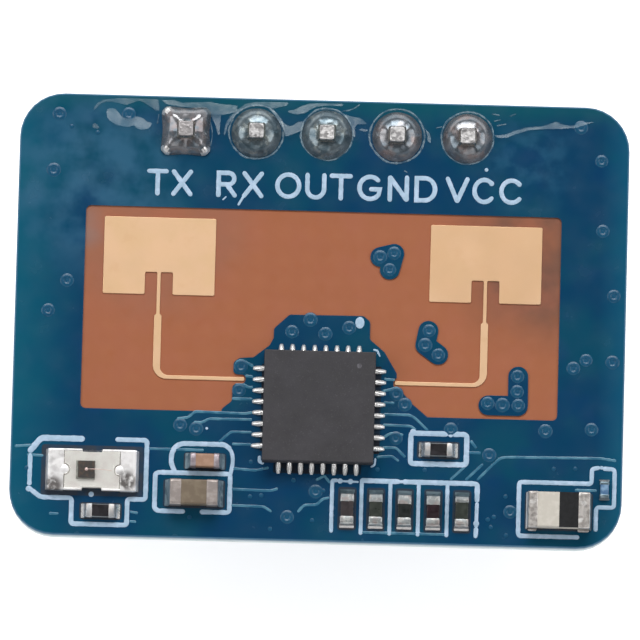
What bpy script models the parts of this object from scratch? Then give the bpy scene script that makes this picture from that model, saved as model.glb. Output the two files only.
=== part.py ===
"""Microwave radar sensor module.

A small circuit board lies flat with its component face up. That face carries two gold
patch antennas in a window of bare laminate, a flat square radar chip, a light sensor,
chip resistors and capacitors and a ceramic chip antenna. A five-pin header hangs from
the back face, and its pins are soldered on the component face.

X runs along the header, Y across the board towards it, and Z points out of the
component face. The origin lies under the middle of the board, in the plane of the pin
tips. All sizes are in metres.
"""

import math
from dataclasses import dataclass

import bmesh
import bpy
from mathutils import Vector

# Board
BOARD_LENGTH = 0.0220
BOARD_WIDTH = 0.0160
BOARD_THICKNESS = 0.0012
BOARD_CORNER_RADIUS = 0.0016
SEAT_GAP = 0.000005

# Pin header
PIN_COUNT = 5
PIN_PITCH = 0.00254
PIN_SIDE = 0.00064
PIN_CORNER_RADIUS = 0.00005
PIN_BELOW = 0.0060
PIN_ABOVE = 0.00075
PIN_TIP_LENGTH = 0.00035
PIN_TIP_SIDE = 0.00030
PIN_TOP_LENGTH = 0.00012
PIN_TOP_SIDE = 0.00044
PIN_FIT = 0.00001
HEADER_FROM_EDGE = 0.00127
HEADER_OFFSET = 0.00006
STRIP_HEIGHT = 0.0025
STRIP_WIDTH = 0.0025
STRIP_NOTCH = 0.00045

# Solder joints of the header
HOLE_CLEARANCE = 0.00006
PAD_RING = 0.00038
SOLDER_EDGE_HEIGHT = 0.00004
SOLDER_HEIGHT = 0.00046
SOLDER_COLLAR = 0.00006
SQUARE_PAD_CORNER = 1.26
SQUARE_PAD_PULL = 0.06

# Window of bare laminate around the antennas
MASK_STEP = 0.00006
WINDOW_SIDE_GAP = 0.00068
WINDOW_TOP_GAP = 0.00038
WINDOW_FEED_GAP = 0.00120
WINDOW_CORNER_RADIUS = 0.00018
MASK_CORNER_RADIUS = 0.00016
CUT_MARGIN = 0.0005

# Patch antennas
FOIL_THICKNESS = 0.00004
PATCH_LENGTH = 0.00402
PATCH_WIDTH = 0.00280
PATCH_FROM_CHIP = 0.00588
PATCH_ABOVE_CHIP = 0.00398
PATCH_CORNER_RADIUS = 0.00005
SLOT_DEPTH = 0.00081
SLOT_WIDTH = 0.00044
FEED_WIDTH = 0.000125
FEED_WIDE = 0.000265
FEED_THIN_LENGTH = 0.00070
FEED_FLARE_LENGTH = 0.00006
FEED_BEND_RADIUS = 0.00040
FEED_END_WIDTH = 0.00014
FEED_END_FROM_CHIP = 0.00070
FEED_LEAD = 2.5

# Radar chip
CHIP_SIDE = 0.0040
CHIP_HEIGHT = 0.00085
CHIP_FROM_CENTRE = 0.000035
CHIP_FROM_BOTTOM = 0.00479
CHIP_STANDOFF = 0.00003
CHIP_EDGE = 0.00003
LEADS_PER_SIDE = 8
LEAD_PITCH = 0.0004
LEAD_WIDTH = 0.00020
LEAD_REACH = 0.00039
LEAD_HEIGHT = 0.00022
LEAD_LIP = 0.00003
LEAD_ROOT = 0.00006
DIMPLE_DIAMETER = 0.00024
DIMPLE_DEPTH = 0.00004
DIMPLE_INSET = 0.00056

# Light sensor
SENSOR_LENGTH = 0.0032
SENSOR_WIDTH = 0.0015
SENSOR_BASE_HEIGHT = 0.00035
SENSOR_LENS_FROM_END = 0.00060
SENSOR_LENS_MARGIN = 0.00010
SENSOR_LENS_HEIGHT = 0.00060
SENSOR_BITE_RADIUS = 0.00024
SENSOR_LOBE_GAP = 0.00003
SENSOR_TERMINAL = 0.00058
SENSOR_DIE_SIDE = 0.00060
SENSOR_DIE_HEIGHT = 0.00015
SENSOR_DIE_OFFSET = 0.00020
SENSOR_DIE_CLEARANCE = 0.00002
SENSOR_FROM_LEFT = 0.00296
SENSOR_FROM_BOTTOM = 0.00233

# Two-ended chip components
CAP_WALL = 0.00002
CHIP_EDGE_RADIUS = 0.00004
SOLDER_CLIMB = 0.65
RESISTOR_LENGTH = 0.00104
RESISTOR_WIDTH = 0.00050
RESISTOR_HEIGHT = 0.00035
RESISTOR_TERMINAL = 0.00022
CAPACITOR_LENGTH = 0.00107
CAPACITOR_WIDTH = 0.00053
CAPACITOR_HEIGHT = 0.00050
CAPACITOR_TERMINAL = 0.00025
LARGE_CAPACITOR_LENGTH = 0.00174
LARGE_CAPACITOR_WIDTH = 0.00092
LARGE_CAPACITOR_HEIGHT = 0.00080
LARGE_CAPACITOR_TERMINAL = 0.00041
INDUCTOR_LENGTH = 0.00060
INDUCTOR_WIDTH = 0.00034
INDUCTOR_HEIGHT = 0.00025
INDUCTOR_TERMINAL = 0.00012
ANTENNA_LENGTH = 0.00220
ANTENNA_WIDTH = 0.00129
ANTENNA_HEIGHT = 0.00085
ANTENNA_TERMINAL = 0.00041
SOLDER_REACH = 0.00018
SMALL_SOLDER_REACH = 0.00007

# Where the chip components stand, from the nearest board edges or the radar chip. The two
# capacitors stand about halfway between the light sensor and the chip.
SENSOR_RESISTOR_FROM_LEFT = 0.00330
SENSOR_RESISTOR_FROM_BOTTOM = 0.00088
LARGE_CAPACITOR_FROM_BOTTOM = 0.00160
TAN_CAPACITOR_SHIFT = 0.00036
TAN_CAPACITOR_FROM_BOTTOM = 0.00277
SIDE_RESISTOR_FROM_CHIP = 0.004335
SIDE_RESISTOR_FROM_BOTTOM = 0.00340
ROW_COUNT = 5
ROW_PITCH = 0.00103
ROW_FROM_RIGHT = 0.00574
ROW_FROM_BOTTOM = 0.00121
ANTENNA_FROM_RIGHT = 0.00226
ANTENNA_FROM_BOTTOM = 0.00131
INDUCTOR_FROM_RIGHT = 0.00064
INDUCTOR_FROM_BOTTOM = 0.00213

# Parts on the back face
WIRELESS_CHIP_SIDE = 0.0030
WIRELESS_CHIP_HEIGHT = 0.00075
WIRELESS_LEADS_PER_SIDE = 5
WIRELESS_LEAD_PITCH = 0.0004
WIRELESS_FROM_RIGHT = 0.0052
WIRELESS_FROM_BOTTOM = 0.0048
CRYSTAL_LENGTH = 0.0025
CRYSTAL_WIDTH = 0.0020
CRYSTAL_BASE_HEIGHT = 0.00035
CRYSTAL_LID_HEIGHT = 0.00020
CRYSTAL_LID_MARGIN = 0.00018
CRYSTAL_CORNER_RADIUS = 0.00025
RADAR_CRYSTAL_FROM_CHIP = 0.0046
WIRELESS_CRYSTAL_GAP = 0.0004
REGULATOR_LENGTH = 0.0029
REGULATOR_WIDTH = 0.0016
REGULATOR_HEIGHT = 0.00110
REGULATOR_STANDOFF = 0.00008
REGULATOR_DRAFT = 0.00012
REGULATOR_LEAD_PITCH = 0.00095
REGULATOR_LEAD_WIDTH = 0.00040
REGULATOR_LEAD_THICKNESS = 0.00015
REGULATOR_SPAN = 0.0028
REGULATOR_FOOT = 0.00035
REGULATOR_FROM_LEFT = 0.0072
REGULATOR_FROM_TOP = 0.0056

# How solder runs off, as shares: of the way out and of the climb, from the wall to the tip
FILLET_SHARES = ((0.06, 1.0), (0.32, 0.50), (0.66, 0.22))
DOME_SHARES = (0.0, 0.12, 0.30, 0.55, 0.80, 1.0)
DOME_CURVE = 1.8
LEAD_CURVE = 1.6
LEAD_TAPER = 0.3
SOLDER_LIP_EDGE = 0.00001
LOBE_SHARE = 0.6
KNEE_SHARE = 0.8

# How finely round shapes are divided, and how much of an edge an arc may take
ARC_LIMIT = 0.45
STRAIGHT_LIMIT = math.radians(89)
SMALLEST_ARC = 1e-7
SHARP_ANGLE = math.radians(35)
CORNER_STEPS = 3
BOARD_CORNER_STEPS = 8
BEND_STEPS = 6
HOLE_SIDES = 24
PAD_SIDES = 32
LEAD_SECTIONS = 4

# Levels above the pin tips, and the edges of the board
SEAT_LEVEL = PIN_BELOW
STRIP_TOP = SEAT_LEVEL + STRIP_HEIGHT
BOARD_BOTTOM = STRIP_TOP + SEAT_GAP
BOARD_TOP = BOARD_BOTTOM + BOARD_THICKNESS
PIN_TOP = BOARD_TOP + PIN_ABOVE
LAMINATE_TOP = BOARD_TOP - MASK_STEP
LEFT = -BOARD_LENGTH / 2
RIGHT = BOARD_LENGTH / 2
BOTTOM = -BOARD_WIDTH / 2
TOP = BOARD_WIDTH / 2
HEADER_Y = TOP - HEADER_FROM_EDGE
CHIP_X = CHIP_FROM_CENTRE
CHIP_Y = BOTTOM + CHIP_FROM_BOTTOM

# The mask around the radar chip, from the chip's centre, clockwise from its lower left.
# A narrow notch on each side lets the antenna's feed line run in to its lead.
MASK_AROUND_CHIP = (
    (-0.00350, -0.00060),
    (-0.00350, -0.00010),
    (-0.00313, 0.00020),
    (-0.00313, 0.00074),
    (-0.00300, 0.00084),
    (-0.00266, 0.00084),
    (-0.00266, 0.00116),
    (-0.00300, 0.00116),
    (-0.00311, 0.00125),
    (-0.00311, 0.00160),
    (-0.00290, 0.00176),
    (-0.00240, 0.00180),
    (-0.00183, 0.00225),
    (-0.00169, 0.00252),
    (-0.00169, 0.00286),
    (-0.00114, 0.00338),
    (0.00152, 0.00340),
    (0.00177, 0.00320),
    (0.00177, 0.00256),
    (0.00232, 0.00210),
    (0.00277, 0.00135),
    (0.00277, 0.00116),
    (0.00266, 0.00116),
    (0.00266, 0.00084),
    (0.00285, 0.00084),
    (0.00335, 0.00026),
    (0.00398, -0.00026),
    (0.00398, -0.00060),
)

# Small mask islands in the window, from the chip's centre, each a fat line through its vias.
MASK_ISLANDS = (
    ((0.00207, 0.00556), (0.00257, 0.00569), (0.00242, 0.00511)),
    ((0.00387, 0.00293), (0.00377, 0.00241), (0.00424, 0.00207)),
    ((0.00714, 0.00136), (0.00715, 0.00029), (0.00609, 0.00029)),
)
ISLAND_RADIUS = 0.00036

# Colours as linear red, green and blue
MASK_BLUE = (0.008, 0.065, 0.140)
GOLD_FOIL = (0.76, 0.50, 0.31)
CHIP_GREY = (0.055, 0.055, 0.058)
TINNED = (0.70, 0.69, 0.67)
PIN_METAL = (0.78, 0.74, 0.66)
STRIP_BLACK = (0.012, 0.012, 0.013)
SENSOR_WHITE = (0.66, 0.64, 0.58)
CLEAR_RESIN = (0.80, 0.79, 0.74)
DIE_BROWN = (0.050, 0.035, 0.028)
RESISTOR_BLACK = (0.012, 0.010, 0.010)
ROW_COLOURS = (
    (0.060, 0.046, 0.048),
    (0.048, 0.054, 0.048),
    (0.016, 0.023, 0.026),
    (0.020, 0.008, 0.013),
    (0.038, 0.045, 0.038),
)
CAPACITOR_TAN = (0.46, 0.26, 0.16)
CAPACITOR_BROWN = (0.22, 0.17, 0.13)
ANTENNA_CREAM = (0.60, 0.55, 0.48)
INDUCTOR_BLUE = (0.16, 0.20, 0.36)
LID_METAL = (0.60, 0.60, 0.62)


@dataclass
class ChipSize:
    """The outline of a chip component with a metal cap on each end."""

    length: float
    width: float
    height: float
    terminal: float
    solder_reach: float


def clear_scene():
    """Remove every object of the scene that is open."""
    for old in list(bpy.data.objects):
        bpy.data.objects.remove(old, do_unlink=True)


def make_material(name, colour, roughness, metallic=0.0):
    """A material with the piece's own colour, roughness and metallic value."""
    material = bpy.data.materials.new(name)
    material.use_nodes = True
    shader = material.node_tree.nodes["Principled BSDF"]
    shader.inputs["Base Color"].default_value = (*colour, 1.0)
    shader.inputs["Roughness"].default_value = roughness
    shader.inputs["Metallic"].default_value = metallic
    material.diffuse_color = (*colour, 1.0)
    return material


def rectangle(length, width):
    """The corners of a rectangle around the origin, anticlockwise."""
    return [
        (-length / 2, -width / 2),
        (length / 2, -width / 2),
        (length / 2, width / 2),
        (-length / 2, width / 2),
    ]


def circle(radius, sides, centre=(0.0, 0.0)):
    """Points around a circle, anticlockwise."""
    turns = [2 * math.pi * index / sides for index in range(sides)]
    return [(centre[0] + radius * math.cos(turn), centre[1] + radius * math.sin(turn)) for turn in turns]


def rounded(points, radius, steps=CORNER_STEPS):
    """A closed outline with each corner replaced by an arc, which its edges may limit."""
    outline = []
    for index, point in enumerate(points):
        corner = Vector(point)
        back = Vector(points[index - 1]) - corner
        ahead = Vector(points[(index + 1) % len(points)]) - corner
        half = back.angle(ahead) / 2
        reach = min(radius / math.tan(half), ARC_LIMIT * back.length, ARC_LIMIT * ahead.length)
        if reach < SMALLEST_ARC or half > STRAIGHT_LIMIT:
            outline.append((corner.x, corner.y))
            continue
        arc = reach * math.tan(half)
        inward = (back.normalized() + ahead.normalized()).normalized()
        centre = corner + inward * (arc / math.sin(half))
        start = corner + back.normalized() * reach - centre
        end = corner + ahead.normalized() * reach - centre
        first = math.atan2(start.y, start.x)
        sweep = (math.atan2(end.y, end.x) - first + math.pi) % (2 * math.pi) - math.pi
        for step in range(steps + 1):
            turn = first + sweep * step / steps
            outline.append((centre.x + arc * math.cos(turn), centre.y + arc * math.sin(turn)))
    return outline


def fat_line(start, end, radius):
    """The outline of a line with round ends, such as the mask over two vias."""
    along = Vector(end) - Vector(start)
    heading = math.atan2(along.y, along.x)
    outline = []
    for centre, first in ((end, heading - math.pi / 2), (start, heading + math.pi / 2)):
        for step in range(HOLE_SIDES // 2 + 1):
            turn = first + math.pi * step / (HOLE_SIDES // 2)
            outline.append((centre[0] + radius * math.cos(turn), centre[1] + radius * math.sin(turn)))
    return outline


def at_height(outline, height):
    """An outline in the XY plane as a ring of points at this height."""
    return [(x, y, height) for x, y in outline]


def add_loft(shape, rings):
    """Add a closed body through rings of equally many points, with a face on each end."""
    loops = [[shape.verts.new(point) for point in ring] for ring in rings]
    faces = []
    for lower, upper in zip(loops, loops[1:]):
        for index in range(len(lower)):
            corners = (lower[index - 1], lower[index], upper[index], upper[index - 1])
            faces.append(shape.faces.new(corners))
    faces.append(shape.faces.new(list(reversed(loops[0]))))
    faces.append(shape.faces.new(loops[-1]))
    bmesh.ops.recalc_face_normals(shape, faces=faces)


def add_prism(shape, outline, bottom, top):
    """Add an upright body with the same outline all the way up."""
    add_loft(shape, [at_height(outline, bottom), at_height(outline, top)])


def make_object(name, shape, material, place=(0.0, 0.0, 0.0), rotation=(0.0, 0.0, 0.0)):
    """Turn the built shape into a named object of the module."""
    mesh = bpy.data.meshes.new(name)
    shape.to_mesh(mesh)
    shape.free()
    mesh.materials.append(material)
    mesh.shade_smooth()
    mesh.set_sharp_from_angle(angle=SHARP_ANGLE)
    piece = bpy.data.objects.new(name, mesh)
    piece.location = place
    piece.rotation_euler = rotation
    bpy.context.scene.collection.objects.link(piece)
    piece.parent = bpy.data.objects["radar_module"]
    return piece


def make_tool(name, shape, material, place=(0.0, 0.0, 0.0), rotation=(0.0, 0.0, 0.0)):
    """A shape that only cuts or joins, shown as wires and left out of renders."""
    tool = make_object(name, shape, material, place, rotation)
    tool.hide_render = True
    tool.display_type = "WIRE"
    return tool


def combine(piece, tool, operation):
    """Cut the tool out of the piece, or join it to the piece."""
    modifier = piece.modifiers.new(tool.name, "BOOLEAN")
    modifier.operation = operation
    modifier.object = tool


def pin_positions():
    """The header's pin centres, from left to right."""
    first = HEADER_OFFSET - PIN_PITCH * (PIN_COUNT - 1) / 2
    return [(first + PIN_PITCH * index, HEADER_Y) for index in range(PIN_COUNT)]


def hole_radius():
    """The plated hole clears the corners of the square pin."""
    return PIN_SIDE * math.sqrt(2) / 2 + PIN_FIT + HOLE_CLEARANCE


def make_mask_window(material):
    """The shallow recess where neither copper nor mask covers the laminate."""
    reach = PATCH_FROM_CHIP + PATCH_LENGTH / 2 + WINDOW_SIDE_GAP
    left = CHIP_X - reach
    right = CHIP_X + reach
    top = CHIP_Y + PATCH_ABOVE_CHIP + PATCH_WIDTH + WINDOW_TOP_GAP
    bottom = CHIP_Y + FEED_LEAD * LEAD_PITCH - WINDOW_FEED_GAP
    corners = [(left, bottom), (right, bottom), (right, top), (left, top)]
    shape = bmesh.new()
    add_prism(shape, rounded(corners, WINDOW_CORNER_RADIUS), LAMINATE_TOP, BOARD_TOP + CUT_MARGIN)
    window = make_tool("window_cutter", shape, material)

    around_chip = [(CHIP_X + x, CHIP_Y + y) for x, y in MASK_AROUND_CHIP]
    outlines = [rounded(around_chip, MASK_CORNER_RADIUS)]
    for island in MASK_ISLANDS:
        vias = [(CHIP_X + x, CHIP_Y + y) for x, y in island]
        for start, end in zip(vias, vias[1:]):
            outlines.append(fat_line(start, end, ISLAND_RADIUS))
    for index, outline in enumerate(outlines):
        shape = bmesh.new()
        add_prism(shape, outline, LAMINATE_TOP - CUT_MARGIN, BOARD_TOP + 2 * CUT_MARGIN)
        island = make_tool(f"mask_left_{index + 1}", shape, material)
        combine(window, island, "DIFFERENCE")
    return window


def make_board():
    """The board: a rounded plate with plated holes and the antennas' window."""
    material = make_material("blue_mask", MASK_BLUE, 0.35)
    shape = bmesh.new()
    outline = rounded(rectangle(BOARD_LENGTH, BOARD_WIDTH), BOARD_CORNER_RADIUS, BOARD_CORNER_STEPS)
    add_prism(shape, outline, BOARD_BOTTOM, BOARD_TOP)
    board = make_object("circuit_board", shape, material)

    shape = bmesh.new()
    for centre in pin_positions():
        hole = circle(hole_radius(), HOLE_SIDES, centre)
        add_prism(shape, hole, BOARD_BOTTOM - CUT_MARGIN, BOARD_TOP + CUT_MARGIN)
    combine(board, make_tool("hole_cutter", shape, material), "DIFFERENCE")
    combine(board, make_mask_window(material), "DIFFERENCE")


def feed_sections(side):
    """Centres, directions and widths along a feed line, from the patch to the chip."""
    line_x = CHIP_X + side * PATCH_FROM_CHIP
    slot_top = CHIP_Y + PATCH_ABOVE_CHIP + SLOT_DEPTH
    flare_top = CHIP_Y + PATCH_ABOVE_CHIP - FEED_THIN_LENGTH
    run_y = CHIP_Y + FEED_LEAD * LEAD_PITCH
    bend_top = run_y + FEED_BEND_RADIUS
    end_x = CHIP_X + side * (CHIP_SIDE / 2 + FEED_END_FROM_CHIP)
    down = Vector((0.0, -1.0))
    sections = [
        (Vector((line_x, slot_top)), down, FEED_WIDTH),
        (Vector((line_x, flare_top)), down, FEED_WIDTH),
        (Vector((line_x, flare_top - FEED_FLARE_LENGTH)), down, FEED_WIDE),
    ]
    for step in range(BEND_STEPS + 1):
        share = step / BEND_STEPS
        turn = share * math.pi / 2
        centre = Vector((
            line_x - side * FEED_BEND_RADIUS * (1 - math.cos(turn)),
            bend_top - FEED_BEND_RADIUS * math.sin(turn),
        ))
        heading = Vector((-side * math.sin(turn), -math.cos(turn)))
        sections.append((centre, heading, FEED_WIDE + share * (FEED_END_WIDTH - FEED_WIDE)))
    sections.append((Vector((end_x, run_y)), Vector((-side, 0.0)), FEED_END_WIDTH))
    return sections


def antenna_outline(side):
    """One patch with two slots beside its feed line, and the line down to the chip."""
    centre_x = CHIP_X + side * PATCH_FROM_CHIP
    bottom = CHIP_Y + PATCH_ABOVE_CHIP
    top = bottom + PATCH_WIDTH
    slot_top = bottom + SLOT_DEPTH
    slot_edge = FEED_WIDTH / 2 + SLOT_WIDTH
    one_side = []
    other_side = []
    for centre, heading, width in feed_sections(side):
        across = Vector((-heading.y, heading.x)) * (width / 2)
        one_side.append(tuple(centre - across))
        other_side.append(tuple(centre + across))
    patch_left = [
        (centre_x - PATCH_LENGTH / 2, top),
        (centre_x - PATCH_LENGTH / 2, bottom),
        (centre_x - slot_edge, bottom),
        (centre_x - slot_edge, slot_top),
    ]
    patch_right = [
        (centre_x + slot_edge, slot_top),
        (centre_x + slot_edge, bottom),
        (centre_x + PATCH_LENGTH / 2, bottom),
        (centre_x + PATCH_LENGTH / 2, top),
    ]
    return patch_left + one_side + list(reversed(other_side)) + patch_right


def make_antenna(name, side, material):
    """A patch antenna of gold-plated foil, lying on the bare laminate."""
    bottom = LAMINATE_TOP + SEAT_GAP
    outline = rounded(antenna_outline(side), PATCH_CORNER_RADIUS, 2)
    shape = bmesh.new()
    add_prism(shape, outline, bottom, bottom + FOIL_THICKNESS)
    make_object(name, shape, material)


def make_pin(index, centre, material):
    """A square pin with a tapered tip below and a short taper above the solder."""
    levels = (
        (0.0, PIN_TIP_SIDE),
        (PIN_TIP_LENGTH, PIN_SIDE),
        (PIN_TOP - PIN_TOP_LENGTH, PIN_SIDE),
        (PIN_TOP, PIN_TOP_SIDE),
    )
    rings = [at_height(rounded(rectangle(side, side), PIN_CORNER_RADIUS, 1), level) for level, side in levels]
    shape = bmesh.new()
    add_loft(shape, rings)
    make_object(f"header_pin_{index}", shape, material, (*centre, 0.0))


def make_pin_cutter(name, centre, material):
    """The square passage that a pin needs, in the strip or in the solder."""
    side = PIN_SIDE + 2 * PIN_FIT
    shape = bmesh.new()
    add_prism(shape, rectangle(side, side), SEAT_LEVEL - CUT_MARGIN, PIN_TOP + CUT_MARGIN)
    return make_tool(name, shape, material, (*centre, 0.0))


def make_strip(cutters):
    """The header's plastic strip: square cells in a row, with notches between them."""
    material = make_material("black_nylon", STRIP_BLACK, 0.5)
    half = STRIP_WIDTH / 2
    far_side = []
    near_side = []
    for index in range(PIN_COUNT):
        cell_left = PIN_PITCH * (index - PIN_COUNT / 2)
        cell_right = cell_left + PIN_PITCH
        for x, inset in (
            (cell_left, STRIP_NOTCH),
            (cell_left + STRIP_NOTCH, 0.0),
            (cell_right - STRIP_NOTCH, 0.0),
        ):
            far_side.append((x, half - inset))
            near_side.append((x, inset - half))
    far_side.append((PIN_PITCH * PIN_COUNT / 2, half - STRIP_NOTCH))
    near_side.append((PIN_PITCH * PIN_COUNT / 2, STRIP_NOTCH - half))
    shape = bmesh.new()
    add_prism(shape, near_side + list(reversed(far_side)), SEAT_LEVEL, STRIP_TOP)
    strip = make_object("header_strip", shape, material, (HEADER_OFFSET, HEADER_Y, 0.0))
    for cutter in cutters:
        combine(strip, cutter, "DIFFERENCE")


def pad_outline(square):
    """The solder's edge on its pad: round, or a square whose sides are pulled in."""
    half = hole_radius() + PAD_RING
    outline = []
    for index in range(PAD_SIDES):
        turn = 2 * math.pi * index / PAD_SIDES
        reach = half
        if square:
            reach = min(half / max(abs(math.cos(turn)), abs(math.sin(turn))), half * SQUARE_PAD_CORNER)
            reach *= 1 - SQUARE_PAD_PULL * math.cos(2 * turn) ** 2
        outline.append((reach * math.cos(turn), reach * math.sin(turn)))
    return outline


def make_solder_joint(index, centre, cutter, material):
    """Solder that fills the plated hole and rises to the pin in a full dome."""
    under = BOARD_TOP + SEAT_GAP
    barrel = circle(hole_radius() - SEAT_GAP, PAD_SIDES)
    pad = pad_outline(square=index == 1)
    collar = PIN_SIDE * math.sqrt(2) / 2 + PIN_FIT + SOLDER_COLLAR
    rings = [
        at_height(barrel, BOARD_BOTTOM + SEAT_GAP),
        at_height(barrel, under),
        at_height(pad, under),
    ]
    for share in DOME_SHARES:
        climb = (SOLDER_HEIGHT - SOLDER_EDGE_HEIGHT) * (1 - (1 - share) ** DOME_CURVE)
        height = under + SOLDER_EDGE_HEIGHT + climb
        ring = []
        for x, y in pad:
            reach = math.hypot(x, y)
            factor = (reach + share * (collar - reach)) / reach
            ring.append((x * factor, y * factor, height))
        rings.append(ring)
    shape = bmesh.new()
    add_loft(shape, rings)
    joint = make_object(f"solder_joint_{index}", shape, material, (*centre, 0.0))
    combine(joint, cutter, "DIFFERENCE")


def make_header():
    """Five pins in a plastic strip on the back, each soldered on the component face."""
    pin_metal = make_material("tinned_pin", PIN_METAL, 0.3, 1.0)
    solder = make_material("header_solder", TINNED, 0.3, 1.0)
    cutters = []
    for index, centre in enumerate(pin_positions(), start=1):
        cutter = make_pin_cutter(f"pin_cutter_{index}", centre, pin_metal)
        make_pin(index, centre, pin_metal)
        make_solder_joint(index, centre, cutter, solder)
        cutters.append(cutter)
    make_strip(cutters)


def add_lead(shape, side, offset, turn):
    """Add one solder toe that runs out from under a flat chip's edge."""
    start = side / 2 - LEAD_ROOT
    end = side / 2 + LEAD_REACH
    cosine = math.cos(turn)
    sine = math.sin(turn)
    rings = []
    for section in range(LEAD_SECTIONS + 1):
        share = section / LEAD_SECTIONS
        reach = start + share * (end - start)
        height = LEAD_LIP + (LEAD_HEIGHT - LEAD_LIP) * (1 - share) ** LEAD_CURVE
        half = LEAD_WIDTH / 2 * (1 - LEAD_TAPER * share**3)
        ring = []
        for corner in range(LEAD_SECTIONS + 1):
            angle = math.pi * corner / LEAD_SECTIONS
            across = offset + half * math.cos(angle)
            ring.append((
                reach * cosine - across * sine,
                reach * sine + across * cosine,
                SEAT_GAP + height * math.sin(angle),
            ))
        rings.append(ring)
    add_loft(shape, rings)


def make_flat_chip(name, side, height, count, pitch, place, rotation, material):
    """A square chip with no legs: its leads end under its edges in toes of solder."""
    shape = bmesh.new()
    add_loft(
        shape,
        [
            at_height(rectangle(side, side), CHIP_STANDOFF),
            at_height(rectangle(side, side), height - CHIP_EDGE),
            at_height(rectangle(side - 2 * CHIP_EDGE, side - 2 * CHIP_EDGE), height),
        ],
    )
    chip = make_object(name, shape, material, place, rotation)

    shape = bmesh.new()
    for quarter in range(4):
        for index in range(count):
            offset = pitch * (index - (count - 1) / 2)
            add_lead(shape, side, offset, quarter * math.pi / 2)
    combine(chip, make_tool(name + "_toes", shape, material, place, rotation), "UNION")

    shape = bmesh.new()
    corner = side / 2 - DIMPLE_INSET
    dimple = circle(DIMPLE_DIAMETER / 2, HOLE_SIDES, (corner, corner))
    add_prism(shape, dimple, height - DIMPLE_DEPTH, height + CUT_MARGIN)
    combine(chip, make_tool(name + "_dimple", shape, material, place, rotation), "DIFFERENCE")


def section_ring(reach, width, bottom, top, edge):
    """An upright section with cut corners, at this distance along a chip component."""
    half = width / 2
    profile = (
        (-half, bottom + edge),
        (-half + edge, bottom),
        (half - edge, bottom),
        (half, bottom + edge),
        (half, top - edge),
        (half - edge, top),
        (-half + edge, top),
        (-half, top - edge),
    )
    return [(reach, across, height) for across, height in profile]


def add_terminal(shape, size, side):
    """Add a metal cup over one end of a chip component, with its fillet of solder."""
    edge = CHIP_EDGE_RADIUS
    wall = CAP_WALL - SEAT_GAP
    low = SEAT_GAP
    end = size.length / 2
    rim = end - size.terminal
    climb = size.height * SOLDER_CLIMB
    reach = size.solder_reach
    inner = (size.width - 2 * wall, low + wall, low + size.height - wall, edge)
    outer = (size.width, low, low + size.height, edge)
    narrow = size.width - edge
    rings = [
        section_ring(end - wall, *inner),
        section_ring(rim, *inner),
        section_ring(rim, *outer),
        section_ring(end - edge / 2, *outer),
        section_ring(end, narrow, low, low + size.height - edge / 2, edge),
    ]
    for outward, upward in FILLET_SHARES:
        top = low + upward * climb
        rings.append(section_ring(end + outward * reach, narrow, low, top, SOLDER_LIP_EDGE))
    rings.append(section_ring(end + reach, narrow, low, low + LEAD_LIP, SOLDER_LIP_EDGE))
    add_loft(shape, [[(side * x, y, z) for x, y, z in ring] for ring in rings])


def make_chip_component(name, size, x, y, body, metal, turn=0.0):
    """A ceramic chip between two metal cups that are soldered to the board."""
    place = (x, y, BOARD_TOP)
    rotation = (0.0, 0.0, turn)
    low = SEAT_GAP + CAP_WALL
    half = size.length / 2 - CAP_WALL
    section = (size.width - 2 * CAP_WALL, low, SEAT_GAP + size.height - CAP_WALL, CHIP_EDGE_RADIUS)
    shape = bmesh.new()
    add_loft(shape, [section_ring(-half, *section), section_ring(half, *section)])
    make_object(name + "_body", shape, body, place, rotation)
    for number, side in ((1, -1), (2, 1)):
        shape = bmesh.new()
        add_terminal(shape, size, side)
        make_object(f"{name}_terminal_{number}", shape, metal, place, rotation)


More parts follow.
